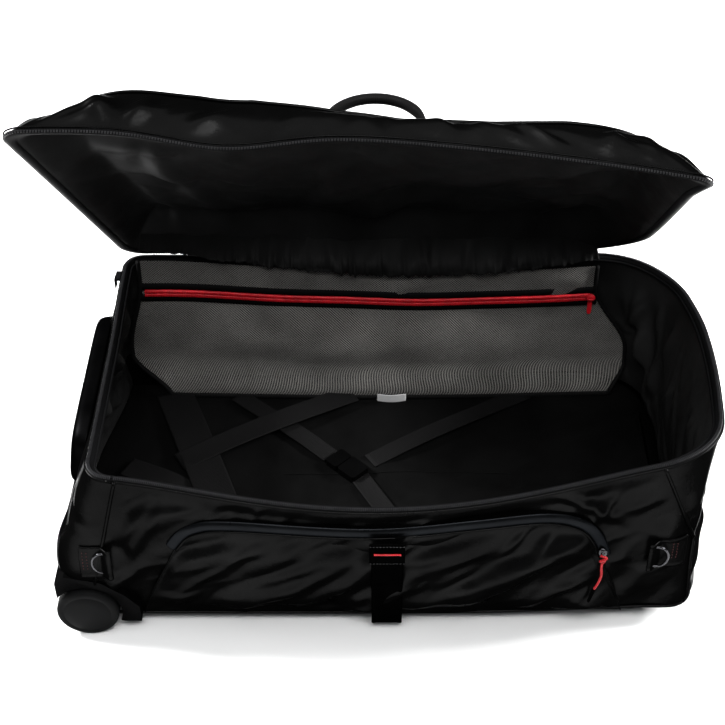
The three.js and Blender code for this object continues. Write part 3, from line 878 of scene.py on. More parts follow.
def make_base_zip():
    """The welt, tape and teeth of the main zip's base half, all the way round the rim."""
    count = 420
    welt = tube("welt", rim_line(count, 0.0, -0.0005), 0.0017, TARPAULIN, closed=True)
    inner = tube("binding", rim_line(count, 0.0105, -0.0030), 0.0018, ZIP_TAPE, closed=True)
    places = ((0.0, 0.001), (0.004, 0.0024), (0.0105, -0.002))
    rows = [rim_line(count, inset, lift) for inset, lift in places]
    tape = cloth_piece("tape", np.array(rows), ZIP_TAPE, 0.0008, wrap=True, detail=0)
    tooth = (0.0044, 0.0011, 0.0016)
    teeth = beads("teeth", rim_line(count, 0.0030, 0.0034), (0, 0, 1), 0.0021, tooth, ZIP_TEETH)
    finish_piece(joined("base_zip_tape", [tape, welt, inner, teeth]), replaces=["base_zip"])


# ---------- inside the base ----------
FLOOR_LEVEL = (FLOOR_Z - WALL_LOW) / WALL_TALL
LINING_INSET = 0.0085


def make_lining_walls():
    """The lining hangs from the rim down to the floor's edge and sags most at the bag's ends."""
    grid = wall_grid("all", 420, 56, FLOOR_LEVEL, 0.985, LINING_INSET)
    x, z = grid[..., 0], grid[..., 2]
    around = np.broadcast_to(np.linspace(0, 2.2, grid.shape[1]), x.shape)
    hold = smooth(z, RIM_Z - 0.004, RIM_Z - 0.06) * smooth(z, FLOOR_Z - 0.001, FLOOR_Z + 0.03)
    end = smooth(x, 0.27, 0.36) + smooth(x, -0.29, -0.33)
    relief = 0.5 * crumple(around, z, 21, 120, 0.09, 0.016, 0.008, 75, 80)
    relief += end * crumple(around, z, 22, 90, 0.085, 0.018, 0.019, 70, 80)
    relief += end * crumple(around, z, 23, 200, 0.05, 0.007, 0.0060, 80, 120)
    grid += grid_normals(grid) * (np.clip(relief - 0.002, -0.028, 0.001) * hold)[..., None]
    # The walls' lighter lining tone is painted light.
    piece = cloth_piece("lining_walls", grid, WALL_LINING_PAINTED_LIGHT, 0.0006)
    finish_piece(piece, replaces=["wall_lining"])


def make_floor_lining():
    """The floor's cover: rings of points that run in from the walls to the middle."""
    points, outward = run_of("all", FLOOR_LEVEL, 241)
    edge = wall_point(points, outward, FLOOR_LEVEL, 0.009)[:-1]
    shares = np.linspace(0, 1, 42) ** 0.8
    centre = np.stack([np.clip(edge[:, 0], -0.13, 0.17), edge[:, 1] * 0.0, edge[:, 2]], axis=1)
    grid = np.array([edge * (1 - s) + centre * s for s in shares])
    x, y = grid[..., 0], grid[..., 1]
    relief = crumple(x, y, 31, 70, 0.10, 0.018, 0.0030, 20, 120)
    relief += 0.004 * bump(x, 0.12, 0.22) * bump(y, -0.05, 0.12)
    grid[..., 2] = FLOOR_Z + 0.0004 + np.clip(relief, -0.0002, 0.007) * smooth(shares, 0, 0.12)[:, None]
    # The floor's darker lining tone is painted shade.
    piece = cloth_piece("floor_lining", grid, FLOOR_LINING_PAINTED_SHADE, 0.0008, wrap=True)
    finish_piece(piece, replaces=["floor_panel"])


MESH_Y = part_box("mesh_pocket")[0].y


def mesh_point(x, share):
    """The mesh pocket: share runs from its lower edge to its top."""
    left = -0.322 - 0.022 * smooth(share, 0.85, 0.30) + 0.052 * smooth(share, 0.25, 0.0)
    right = 0.286 + 0.050 * smooth(share, 0.85, 0.28) - 0.020 * smooth(share, 0.20, 0.0)
    place = left + (right - left) * x
    top = 0.262 - 0.022 * bump(place, 0.07, 0.36)
    z = FLOOR_Z + 0.004 + (top - FLOOR_Z - 0.004) * share
    belly = 0.020 * bump(x, 0.5, 0.55) * bump(share, 0.30, 0.42) + 0.024 * smooth(share, 0.26, 0.0)
    lean = 0.006 * (1 - share)
    wave = 0.0024 * np.sin(place * 31 + 4 * share) * bump(share, 0.45, 0.5) * bump(x, 0.5, 0.5)
    return np.stack(np.broadcast_arrays(place, MESH_Y - belly - lean + wave, z), axis=-1)


def mesh_line(share, count, proud=0.0, drop=0.0, start=0.0, stop=1.0):
    """A line along the mesh pocket, in front of it by proud and below it by drop."""
    line = mesh_point(np.linspace(start, stop, count), np.full(count, share))
    line[:, 1] -= proud
    line[:, 2] -= drop
    return line


ZIP_SHARE = 0.765  # how high up the mesh its zip is


def make_mesh_pocket():
    """The see-through pocket in front of the rear wall."""
    across, up = np.meshgrid(np.linspace(0, 1, 110), np.linspace(0, 1, 44))
    grid = mesh_point(across, up)
    relief = crumple(grid[..., 0], grid[..., 2], 41, 30, 0.10, 0.022, 0.0024, 25, 60)
    grid[..., 1] -= relief * pin_edges(grid.shape)
    piece = cloth_piece("mesh_cloth", grid, MESH, 0.0)
    finish_piece(piece, replaces=["mesh_pocket"])


def make_mesh_zip():
    """The mesh pocket's two tapes, and between them the two halves of its red coil."""
    parts = []
    for side in (-1, 1):
        rows = [mesh_line(ZIP_SHARE, 160, 0.0026, side * d) for d in (0.0035, 0.0090, 0.0145)]
        parts.append(cloth_piece("tape", np.array(rows), ZIP_TAPE, 0.0008, detail=0))
    coil_turn = (0.0046, 0.0013, 0.0011)
    for side in (-1, 1):
        line = mesh_line(ZIP_SHARE, 300, 0.0044, side * 0.0028, 0.012, 0.985)
        parts.append(tube("coil", line, 0.0026, RED_COIL, sides=8, squash=0.8, up=(0, 1, 0.02)))
        row = mesh_line(ZIP_SHARE, 300, 0.0066, side * 0.0026, 0.012, 0.985)
        parts.append(beads("turns", row, (0, -1, 0), 0.0022, coil_turn, RED_COIL, lean=0.25 * side))
    finish_piece(joined("mesh_zip_coil", parts), replaces=["mesh_zip"])


def make_mesh_binding():
    edges = [tube("edge", mesh_line(0.0, 160, 0.0008), 0.0024, WEBBING, squash=1.6)]
    for x in (0.0, 1.0):
        side = mesh_point(np.full(50, x), np.linspace(0, 1, 50))
        side[:, 1] -= 0.001
        edges.append(tube("edge", side, 0.0028, WEBBING, up=(0, 1, 0.1)))
    finish_piece(joined("mesh_binding", edges))


def make_mesh_slider():
    low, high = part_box("mesh_slider")
    x = (low.x + high.x) / 2
    left, right = mesh_point(0.0, ZIP_SHARE)[0], mesh_point(1.0, ZIP_SHARE)[0]
    at = mesh_point(float((x - left) / (right - left)), ZIP_SHARE)
    place = (at[0], at[1] - 0.0075, at[2])
    body = slider_body("mesh_slider_body", place, 0.013, 0.010, 0.0045, RED_COIL)
    finish_piece(body, "mesh_zip_slider", ["mesh_slider"])
    pivot = joint_at("mesh_pull_swing")
    eye = (at[0], pivot.y, pivot.z - 0.0008)
    pull = pull_tab("mesh_pull_tab", eye, 0.0062, 0.024, 0.0018, RED_COIL)
    finish_piece(pull, "mesh_zip_pull", ["mesh_pull"])


def slider_body(name, at, length, width, height, material, turn=0.0):
    """A zip slider seen from its face: a waisted plate with a bridge for its pull."""
    t = np.linspace(0, 2 * math.pi, 28, endpoint=False)
    waist = 1 - 0.22 * np.cos(t) ** 2
    outline = np.stack([length / 2 * np.cos(t), width / 2 * np.sin(t) * waist * 1.15], axis=1)
    c, s = math.cos(turn), math.sin(turn)
    outline = outline @ np.array([[c, s], [-s, c]])
    layers = [(0.86, 0.5), (1.0, 0.3), (1.0, -0.2), (0.84, -0.5)]
    points = [[at[0] + p[0] * k, at[1] + h * height, at[2] + p[1] * k] for k, h in layers for p in outline]
    body = mesh_piece(name, points, capped_faces(len(layers), len(t)), material)
    arch = np.linspace(0, math.pi, 12)
    line = np.stack(
        [
            at[0] + 0.36 * length * np.cos(arch) * c,
            np.full(12, at[1]) - height / 2 - 0.0022 * np.sin(arch),
            at[2] + 0.36 * length * np.cos(arch) * s,
        ],
        axis=1,
    )
    bridge = tube(name + "_bridge", line, 0.0009, material, sides=8)
    return joined(name, [body, bridge])


def pull_tab(name, at, width, length, thickness, material):
    """A rounded pull that hangs from at, with a raised rim."""
    t = np.linspace(0, 2 * math.pi, 30, endpoint=False)
    power = 0.55
    middle = -length / 2
    x = width / 2 * np.sign(np.cos(t)) * np.abs(np.cos(t)) ** power
    z = length / 2 * np.sign(np.sin(t)) * np.abs(np.sin(t)) ** power - length / 2
    layers = [(0.82, 0.5), (1, 0.25), (1, -0.25), (0.88, -0.5), (0.70, -0.5), (0.62, -0.30)]
    points = []
    for k, depth in layers:
        y = at[1] + depth * thickness
        heights = at[2] + middle + (z - middle) * (0.5 + k / 2)
        points += [(at[0] + px * k, y, pz) for px, pz in zip(x, heights)]
    return mesh_piece(name, points, capped_faces(len(layers), len(t)), material)


def make_label_piece():
    """A blank white label in the mesh pocket's lower seam."""
    low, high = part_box("size_label")
    u, v = np.meshgrid(np.linspace(0, 1, 16), np.linspace(0, 1, 8))
    x = low.x + (high.x - low.x) * u
    z = low.z - 0.004 + (high.z - low.z + 0.002) * v
    base = mesh_point(0.5, 0.03)[1]
    y = base - 0.004 - 0.003 * np.sin(math.pi * u) - 0.004 * v
    piece = cloth_piece("blank_label", np.stack([x, y, z], axis=-1), LABEL, 0.0004)
    finish_piece(piece, replaces=["size_label"])


def strap_line(start, stop, z, sag, lift):
    """A strap's middle line between two places on the floor, a little arched and wavy."""
    t = np.linspace(0, 1, 40)[:, None]
    line = np.array([*start, z])[None] * (1 - t) + np.array([*stop, z])[None] * t
    line[:, 2] += lift * np.sin(math.pi * t[:, 0]) - sag * np.sin(2 * math.pi * t[:, 0])
    return line


CROSS_STRAPS = (  # node, where it starts and stops on the floor, width, rise and arch
    ("wide_strap_rear", (-0.290, 0.160), (-0.190, -0.115), 0.050, 0.0, 0.006),
    ("wide_strap_front", (-0.040, 0.150), (-0.268, 0.014), 0.034, 0.005, 0.006),
    ("plug_strap", (-0.200, 0.152), (-0.068, 0.030), 0.026, 0.0, 0.003),
    ("socket_strap", (-0.030, -0.008), (0.030, -0.125), 0.026, 0.0, 0.004),
    ("side_cross_strap", (0.200, 0.155), (-0.016, 0.020), 0.026, 0.0, 0.005),
)


def make_cross_straps():
    z = FLOOR_Z + 0.0045
    for node, start, stop, width, rise, arch in CROSS_STRAPS:
        line = strap_line(start, stop, z + rise, 0.0008, arch)
        piece = sweep(node + "_band", line, band(width, 0.0016), WEBBING)
        if node == "plug_strap":  # its end gives when the plug slides out
            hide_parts(node)
            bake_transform(piece)
        else:
            finish_piece(piece, replaces=[node])
    tail = strap_line((-0.338, 0.012), (-0.250, -0.036), z, 0.001, 0.004)
    finish_piece(sweep("loose_strap_end", tail, band(0.034, 0.0016), WEBBING))


# ---------- front pocket ----------
def front_surface(x, z, proud):
    """The point of the front wall's plain surface at x and z, moved out by proud."""
    x, z = np.broadcast_arrays(np.asarray(x, float), np.asarray(z, float))
    low = wall_low(x)
    level = np.clip((z - low) / (rim_height(x, np.full(x.shape, -RIM_HALF)) - low), 0, 1)
    half, left, right, radius = plan_at(level)
    shift = bow_out(x, np.full(x.shape, -RIM_HALF), level) - tucked(z - low, EDGE_TUCK)
    left_round = np.clip(left + FRONT_CORNER - x, 0, 0.029)
    right_round = np.clip((x - (right - radius)) / radius, 0, 0.98)
    give = FRONT_CORNER - np.sqrt(np.clip(FRONT_CORNER**2 - left_round**2, 0, 1))
    give += radius * (1 - np.sqrt(1 - right_round**2))
    return np.stack([x, -(half + shift + proud) + give, z], axis=-1)


POCKET_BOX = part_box("pocket_panel")
POCKET_TOP = POCKET_BOX[1].z
POCKET_LOW = 0.024
POCKET_ARCH = (  # x and z along the pocket's sewn edge, from its lower left to its lower right
    (-0.291, POCKET_LOW),
    (-0.277, 0.066),
    (-0.258, 0.110),
    (-0.238, 0.153),
    (-0.216, POCKET_TOP - 0.012),
    (-0.170, POCKET_TOP - 0.005),
    (-0.015, POCKET_TOP - 0.009),
    (0.105, POCKET_TOP + 0.003),
    (0.182, POCKET_TOP + 0.009),
    (0.222, POCKET_TOP - 0.002),
    (0.243, 0.160),
    (0.258, 0.118),
    (0.275, 0.070),
    (0.289, POCKET_LOW),
)


POCKET_FOLDS = (  # place (x, z), angle, length, width, height
    ((0.155, 0.172), 52, 0.030, 0.006, 0.0040),
    ((0.185, 0.165), 62, 0.030, 0.006, 0.0035),
    ((-0.200, 0.110), 40, 0.090, 0.010, 0.0040),
    ((-0.120, 0.080), 34, 0.110, 0.012, 0.0045),
    ((0.075, 0.075), 36, 0.100, 0.013, 0.0050),
    ((0.130, 0.095), 34, 0.100, 0.012, 0.0045),
    ((0.205, 0.080), 44, 0.090, 0.012, 0.0040),
)


def make_pocket():
    """The pocket's creased panel, which puffs out between its seams."""
    edge = spline(POCKET_ARCH, 400)
    x = np.linspace(edge[0, 0] + 0.001, edge[-1, 0] - 0.001, 170)
    order = np.argsort(edge[:, 0])
    tops = np.interp(x, edge[order, 0], edge[order, 1])
    share = np.linspace(0, 1, 50)[:, None]
    z = POCKET_LOW + (tops[None] - POCKET_LOW) * share
    grid_x = np.broadcast_to(x, z.shape)
    rim = np.minimum(share, 1 - share) * (tops[None] - POCKET_LOW)
    near = np.minimum(rim, np.minimum(x - x[0], x[-1] - x)[None] * 0.6)
    proud = 0.0018 + 0.0095 * smooth(near, 0.0, 0.045)
    relief = crumple(grid_x, z, 51, 80, 0.065, 0.010, 0.0026, 36, 46)
    relief += crumple(grid_x, z, 52, 36, 0.12, 0.020, 0.0048, 30, 36)
    relief += 0.0035 * bump(z, 0.060, 0.05) * np.sin(grid_x * 46) ** 2
    relief = add_folds(relief, grid_x, z, POCKET_FOLDS)
    grid = front_surface(grid_x, z, proud + relief * smooth(near, 0.0, 0.02))
    piece = cloth_piece("pocket_cloth", grid, TARPAULIN)
    finish_piece(piece, replaces=["pocket_panel"])


POCKET_TAPE = (  # across the sealed tape: reach over the pocket's edge, and how proud it stands
    (-0.0010, 0.0030),
    (0.0008, 0.0052),
    (0.0035, 0.0058),
    (0.0062, 0.0055),
    (0.0110, 0.0042),
    (0.0135, 0.0016),
)


def on_front(line, proud):
    """A line given by x and z, laid on the front wall."""
    return front_surface(line[:, 0], line[:, 1], proud)


def make_pocket_zip():
    """The sealed tape along the pocket's top and corners, and the seams that run on down."""
    edge = spline(POCKET_ARCH, 360)
    arch = edge[60:308]
    outward = unit(np.gradient(arch, axis=0))[:, ::-1] * np.array([-1, 1])
    rows = [on_front(arch + outward * reach, proud) for reach, proud in POCKET_TAPE]
    tape = cloth_piece("tape", np.array(rows), SEALED, 0.0010)
    up = (0, 1, 0.01)
    welt = tube("welt", on_front(arch - outward * 0.0012, 0.0048), 0.0014, TARPAULIN, up=up)
    finish_piece(joined("pocket_zip_tape", [tape, welt]), replaces=["pocket_zip"])
    ends = (edge[:62], edge[306:])
    seams = [tube("seam", on_front(end, 0.0018), 0.0011, TARPAULIN, up=up) for end in ends]
    finish_piece(joined("pocket_seams", seams))


# The red pull's cord and its knot, from the slider down.
PULL_LINE = ((0, 0, 0), (0, 0, -0.010), (0.001, 0, -0.024), (-0.002, 0, -0.038), (-0.005, 0, -0.046))
PULL_KNOT = (
    (-0.003, 0, 0.004),
    (0.004, -0.002, 0.001),
    (-0.003, -0.003, -0.003),
    (0.003, 0.001, -0.006),
    (0, 0, -0.010),
)


def make_pocket_pull():
    """The pocket's slider, and on it a knotted red cord with a black rubber end."""
    low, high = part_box("pocket_slider")
    x, z = (low.x + high.x) / 2, (low.z + high.z) / 2
    y = min(low.y, float(front_surface(x, z, 0.008)[1]))
    along_zip = math.radians(106)
    body = slider_body("pocket_slider_body", (x, y, z), 0.015, 0.009, 0.0045, STEEL, turn=along_zip)
    finish_piece(body, "pocket_zip_slider", ["pocket_slider"])
    top = np.array([x, y - 0.004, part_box("pocket_pull")[1].z + 0.006])
    knot = tube("pocket_pull_knot", top + spline(PULL_KNOT, 60), 0.0016, RED_CORD, sides=8)
    finish_piece(knot, "pocket_zip_pull")
    line = top + np.array([0, 0, -0.008]) + spline(PULL_LINE, 60)
    cord = tube("pocket_pull_cord", line, 0.0015, RED_CORD)
    end = line[-1] + np.outer(np.linspace(0, 1, 24), (-0.0055, -0.0006, -0.024))
    tip = sweep("pocket_pull_tip", end, ring(0.0021, 12, 0.8), SOFT_RUBBER, up=(0.1, 1, 0))
    taper_ends(tip, end, 0.4)
    finish_piece(tip, "pocket_zip_pull")
    finish_piece(cord, "pocket_zip_pull", ["pocket_pull"])


def taper_ends(piece, line, share):
    """Rounds a swept piece at both ends: its first and last rings close towards the line."""
    t = np.linspace(0, 1, len(line))
    near_end = np.clip((share * 0.5 - np.minimum(t, 1 - t)) / (share * 0.5), 0, 1)
    resize_rings(piece, line, np.sqrt(np.clip(1 - near_end**2, 0.02, 1)))


def resize_rings(piece, line, sizes):
    """Scales each ring of a swept piece about its point of the line."""
    count = len(piece.data.vertices) // len(line)
    for i, middle in enumerate(line):
        for vertex in piece.data.vertices[i * count : (i + 1) * count]:
            vertex.co = Vector(middle) + (vertex.co - Vector(middle)) * float(sizes[i])


# ---------- side strap, rings ----------
def strip_grid(x0, x1, z0, z1, proud, rows=60, edge=0.0008, sag=0.0):
    """A strap's face on the front wall, with a thicker selvedge at both sides."""
    u, v = np.meshgrid(np.linspace(0, 1, 14), np.linspace(0, 1, rows))
    selvedge = (smooth(u, 0.16, 0.10) + smooth(u, 0.84, 0.90)) * smooth(np.minimum(u, 1 - u), 0, 0.03)
    rise = proud + edge * selvedge + sag * np.sin(math.pi * v)
    return front_surface(x0 + (x1 - x0) * u, z0 + (z1 - z0) * v, rise)


def make_side_strap():
    """A rubberised strap over the pocket's middle that tucks under the bag, and its keeper."""
    left, right = (corner.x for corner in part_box("side_strap"))
    grid = strip_grid(left, right, 0.0120, 0.158, 0.0155, edge=0.0012, sag=0.002)
    strap = cloth_piece("strap", grid, SOFT_RUBBER, 0.0024)
    fold_over = strip_grid(left + 0.002, right - 0.002, 0.006, 0.024, 0.012, rows=14)
    fold_over[..., 1] += 0.012 * smooth(np.linspace(0, 1, 14), 0.7, 0.0)[:, None]
    hem = cloth_piece("hem", fold_over, SOFT_RUBBER, 0.0030)
    finish_piece(joined("side_strap_body", [strap, hem]), replaces=["side_strap"])
    make_strap_keeper(left, right)


def make_strap_keeper(left, right):
    """The sleeve over the strap's upper end, with two rows of stitches and a red stripe."""
    keeper_grid = strip_grid(left - 0.002, right + 0.002, 0.146, 0.183, 0.0190, rows=16)
    keeper = cloth_piece("keeper", keeper_grid, SOFT_RUBBER, 0.0030)
    across = np.linspace(left, right, 40)
    seams = [front_surface(across, np.full(40, z), 0.0196) for z in (0.1495, 0.1795)]
    stitch = (0.0007, 0.0022, 0.0007)
    stitches = [beads("stitch", line, (0, -1, 0), 0.0032, stitch, ZIP_TEETH) for line in seams]
    finish_piece(joined("strap_keeper_sleeve", [keeper, *stitches]), replaces=["strap_keeper"])
    line = front_surface(np.linspace(left + 0.004, right - 0.003, 30), np.full(30, 0.1665), 0.0202)
    finish_piece(tube("keeper_stripe", line, 0.0011, RED_COIL, sides=8, up=(0, 1, 0.01)))


RING_WIRE = 0.0014  # radius of a ring's wire
TAB_WIDTH = 0.047
TAB_REACH = {"left": 0.036, "right": 0.044}  # how far each tab shows from its ring's bar


def ring_loop(bar, toward, z, half, reach):
    """A ring's outline in x and z: a straight side along its bar and a bow that reaches out."""
    t = np.linspace(-math.pi / 2, math.pi / 2, 24)
    bow_x = bar + toward * (0.002 + 0.30 * reach + (0.70 * reach - 0.002) * np.cos(t))
    bow = np.stack([bow_x, z + half * np.sin(t)], axis=1)
    start, stop = (np.array([bar + toward * 0.002, z + end]) for end in (-half, half))
    side = np.linspace(0, 1, 6, endpoint=False)[:, None]
    back = np.linspace(1, 0, 12, endpoint=False)[:, None] * (stop - start) + start
    loop = [start + (bow[0] - start) * side, bow, bow[-1] + (stop - bow[-1]) * side, back]
    return spline(np.concatenate(loop)[::2], 120, closed=True)[:-1]


def make_ring(label, toward):
    """A steel ring whose far side stands out a little from the wall."""
    low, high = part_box(label + "_d_ring")
    bar = high.x if toward < 0 else low.x
    z = (low.z + high.z) / 2
    loop = ring_loop(bar, toward, z, (high.z - low.z) / 2 - 0.002, (high.x - low.x) - 0.002)
    swing = joint_at(label + "_ring_swing").y
    tilt = 0.10 * np.abs(loop[:, 0] - bar)
    line = np.stack([loop[:, 0], np.full(len(loop), swing) - tilt, loop[:, 1]], axis=1)
    hoop = tube(label + "_ring_hoop", line, RING_WIRE, STEEL, closed=True, sides=12, up=(0, 1, 0))
    finish_piece(hoop, label + "_ring", [label + "_d_ring"])
    make_ring_tab(label, toward, bar, z)


def make_ring_tab(label, toward, bar, z):
    """The tab that comes out of the seam and folds round the ring's bar, with two bar tacks."""
    inner, outer = bar - toward * 0.004, bar + toward * TAB_REACH[label]
    x0, x1 = min(inner, outer), max(inner, outer)
    u, v = np.meshgrid(np.linspace(0, 1, 26), np.linspace(0, 1, 18))
    fold_at = smooth(np.abs(x0 + (x1 - x0) * u - bar), 0.012, 0.0)
    rise = 0.0026 + 0.0085 * fold_at + 0.0006 * (smooth(v, 0.10, 0.05) + smooth(v, 0.90, 0.95))
    grid = front_surface(x0 + (x1 - x0) * u, z - TAB_WIDTH / 2 + TAB_WIDTH * v, rise)
    pieces = [cloth_piece("tab", grid, TARPAULIN, 0.0026)]
    for reach in (0.026, 0.031):
        column = np.linspace(-0.006, 0.016, 20)
        place = front_surface(np.full(20, bar + toward * reach), z + column, 0.0036)
        pieces.append(beads("tack", place, (0, -1, 0), 0.0034, (0.0008, 0.0012, 0.0006), RED_THREAD))
    finish_piece(joined(label + "_tab_webbing", pieces), replaces=[label + "_ring_tab"])


# ---------- lid ----------
def lid_shift(x, back):
    """The soft lid leans towards the wheel end: at its left edge little by little, at its right at once."""
    left = -0.068 * np.clip(back / 0.39, 0, 1.05)
    right = -0.045 - 0.030 * np.exp(-back / 0.045) + 0.011 * smooth(back, 0.33, 0.4175)
    share = np.clip((x - RIM_LEFT) / (RIM_RIGHT - RIM_LEFT), 0, 1)
    return left * (1 - share) + right * share


def lid_angle(x):
    """How far the lid stands open, in degrees: less towards the handle end."""
    dip = 2.5 * np.exp(-(((x + 0.17) / 0.085) ** 2))
    return 52.7 - 11.6 * x - 18.3 * x**2 - dip


def lid_point(x, back, up):
    """A lid point from its place on the closed lid: across, from the hinge line, and above the zip."""
    x, back, up = np.broadcast_arrays(*(np.asarray(v, float) for v in (x, back, up)))
    moved = x + lid_shift(x, back)
    angle = np.radians(lid_angle(moved))
    y = HINGE_Y - back * np.cos(angle) + up * np.sin(angle)
    z = HINGE_Z + back * np.sin(angle) + up * np.cos(angle)
    return np.stack([moved, y, z], axis=-1)


def lid_outline(inset, radii):
    left, right = RIM_LEFT + inset, RIM_RIGHT - inset
    return rounded_outline(left, right, inset, LID_REACH - inset, radii, corner_steps=20, side_steps=70)


LID_EDGE = (  # x and depth of the lid's skirt along its free side, which has slumped in the middle
    (-0.400, 0.022),
    (-0.360, 0.038),
    (-0.318, 0.060),
    (-0.260, 0.063),
    (-0.200, 0.066),
    (-0.140, 0.063),
    (-0.050, 0.044),
    (0.020, 0.037),
    (0.120, 0.042),
    (0.200, 0.051),
    (0.275, 0.052),
    (0.335, 0.034),
)


def lid_depth(x, back):
    """How deep the lid's skirt is."""
    free = np.interp(x + lid_shift(x, back), *np.array(LID_EDGE).T)
    side = smooth(back, 0.20, 0.36)
    return LID_DEPTH * (1 - side) + free * side


def lid_ring(inset, up, blend):
    """The lid's outline at an inset and a share of its depth; blend makes its corners rounder."""
    radii = [a * (1 - blend) + b * blend for a, b in zip(ZIP_RADII, PANEL_RADII)]
    outline = lid_outline(inset, radii)
    rise = up * (1 + blend * (lid_depth(outline[:, 0], outline[:, 1]) / LID_DEPTH - 1))
    return lid_point(outline[:, 0], outline[:, 1], rise), outline


def bend_lid(piece, replaces=()):
    """Hides the CAD nodes that a lid piece replaces, and bakes the piece's transform into its mesh."""
    if replaces:
        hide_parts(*replaces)
    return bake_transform(piece)


PANEL_INSET = 0.030
CROWN_UP = 0.0725  # the outer panel's highest point over the zip
HANDLE_X = JOINTS["carry_handle_swing"]["pos_m"][0]
HANDLE_BACK = 0.215  # the carry handle's distance from the hinge line
HANDLE_REACH = 0.061  # from the carry handle's middle to each of its ends
HANDLE_RISE = 0.0455  # how far its middle stands out
GRIP_RADIUS = 0.0078


SKIRT_FOLDS = (  # place (x, height on the skirt), angle, length, width, height
    ((-0.240, 0.026), 112, 0.040, 0.011, 0.0090),
    ((-0.196, 0.030), 66, 0.036, 0.009, 0.0090),
    ((-0.120, 0.024), 20, 0.060, 0.012, 0.0030),
    ((0.110, 0.028), 118, 0.026, 0.008, 0.0050),
    ((0.150, 0.026), 60, 0.026, 0.007, 0.0040),
    ((0.285, 0.028), 62, 0.030, 0.009, 0.0065),
    ((0.320, 0.026), 115, 0.026, 0.008, 0.0050),
)


def make_lid_skirt():
    """The lid's side all the way round; it puffs out and is creased most along the free edge."""
    rows = 26
    grid, outlines = [], []
    for share in np.linspace(0, 1, rows):
        points, outline = lid_ring(0.001 + PANEL_INSET * share, 0.004 + (LID_DEPTH - 0.004) * share, share)
        grid.append(points)
        outlines.append(outline)
    grid, outlines = np.array(grid), np.array(outlines)
    along = np.broadcast_to(np.linspace(0, 2.3, grid.shape[1]), grid.shape[:2])
    share = np.linspace(0, 1, rows)[:, None]
    front = smooth(outlines[..., 1], 0.30, 0.38)
    height = share * LID_DEPTH
    middle = np.sin(math.pi * share)  # 0 at both of the skirt's seams
    relief = 0.010 * middle * (0.4 + 0.6 * front)
    relief = relief + crumple(along, height, 61, 120, 0.030, 0.010, 0.0048, 80, 80) * middle
    relief = add_folds(relief, outlines[..., 0], height, SKIRT_FOLDS, front)
    normals = grid_normals(grid)
    from_centre = grid[3, 90] - grid.mean(axis=(0, 1))
    outward = normals * np.sign((normals[3, 90] * from_centre).sum())
    grid = grid + outward * (relief * middle**0.5)[..., None]
    piece = cloth_piece("lid_skirt_cloth", grid, TARPAULIN, wrap=True, offset=0)
    bend_lid(piece, ["lid_skirt"])


def plate_grid(inset, radii, cols, rows):
    """A grid that fills the lid's outline, closer together near its edges."""
    left, right = RIM_LEFT + inset, RIM_RIGHT - inset
    low, high = inset, LID_REACH - inset

    def crowded(count, share):
        eased = (1 - np.cos(np.linspace(0, math.pi, count))) / 2
        return share * eased + (1 - share) * np.linspace(0, 1, count)

    def give(radius, distance):
        return radius - np.sqrt(np.clip(radius**2 - np.clip(radius - distance, 0, radius) ** 2, 0, 1))

    x = left + (right - left) * crowded(cols, 0.5)
    bottom = low + give(radii[0], x - left) + give(radii[1], right - x)
    top = high - give(radii[3], x - left) - give(radii[2], right - x)
    back = bottom[None] + (top - bottom)[None] * crowded(rows, 0.6)[:, None]
    return np.broadcast_to(x, back.shape), back


def edge_distance(x, back, inset, radii):
    """How far each point is inside the outline."""
    outline = lid_outline(inset, radii)
    flat = np.stack([x.ravel(), back.ravel()], axis=1)
    distance = np.empty(len(flat))
    for start in range(0, len(flat), 2000):
        part = flat[start : start + 2000]
        distance[start : start + 2000] = np.linalg.norm(part[:, None] - outline[None], axis=-1).min(axis=1)
    return distance.reshape(x.shape)


def make_lid_panel():
    """The crowned outer panel, which lies flat under its carry handle."""
    x, back = plate_grid(PANEL_INSET, PANEL_RADII, 150, 96)
    d = edge_distance(x, back, PANEL_INSET, PANEL_RADII)
    depth = lid_depth(x, back)
    crown = (CROWN_UP - depth) * smooth(d, -0.015, 0.165)
    relief = crumple(x, back, 71, 60, 0.10, 0.016, 0.0030, 20, 90) * smooth(d, 0, 0.03)
    from_handle = np.hypot((x - HANDLE_X) / 0.12, (back - HANDLE_BACK) / 0.04)
    grid = lid_point(x, back, depth + crown + relief * smooth(from_handle, 1.0, 1.6))
    piece = cloth_piece("lid_panel_cloth", grid, TARPAULIN, offset=0)
    bend_lid(piece, ["lid_panel"])


LINING_FOLDS = (  # place (x, distance from the hinge line), angle, length, width, height
    ((-0.310, 0.170), 108, 0.18, 0.016, 0.010),
    ((-0.210, 0.150), 100, 0.14, 0.030, -0.010),
    ((-0.090, 0.120), 70, 0.12, 0.040, 0.012),
    ((0.060, 0.090), 25, 0.12, 0.030, -0.010),
    ((0.180, 0.110), -20, 0.12, 0.028, 0.012),
    ((0.260, 0.080), 60, 0.10, 0.022, -0.009),
)


def make_lid_lining():
    x, back = plate_grid(0.006, ZIP_RADII, 170, 120)
    d = edge_distance(x, back, 0.006, ZIP_RADII)
    depth = 0.002 + 0.040 * smooth(d, 0.0, 0.052)
    relief = crumple(x, back, 81, 46, 0.12, 0.034, 0.008, 40, 120)
    relief += crumple(x, back, 82, 90, 0.06, 0.014, 0.0026, 60, 150)
    relief = add_folds(relief, x, back, LINING_FOLDS)
    grid = lid_point(x, back, depth + np.clip(relief, -0.02, 0.006) * smooth(d, 0.0, 0.05))
    # The lid's darker lining tone is painted shade.
    piece = cloth_piece("lid_lining_cloth", grid, LID_LINING_PAINTED_SHADE, 0.0006, offset=1)
    bend_lid(piece, ["lid_lining"])


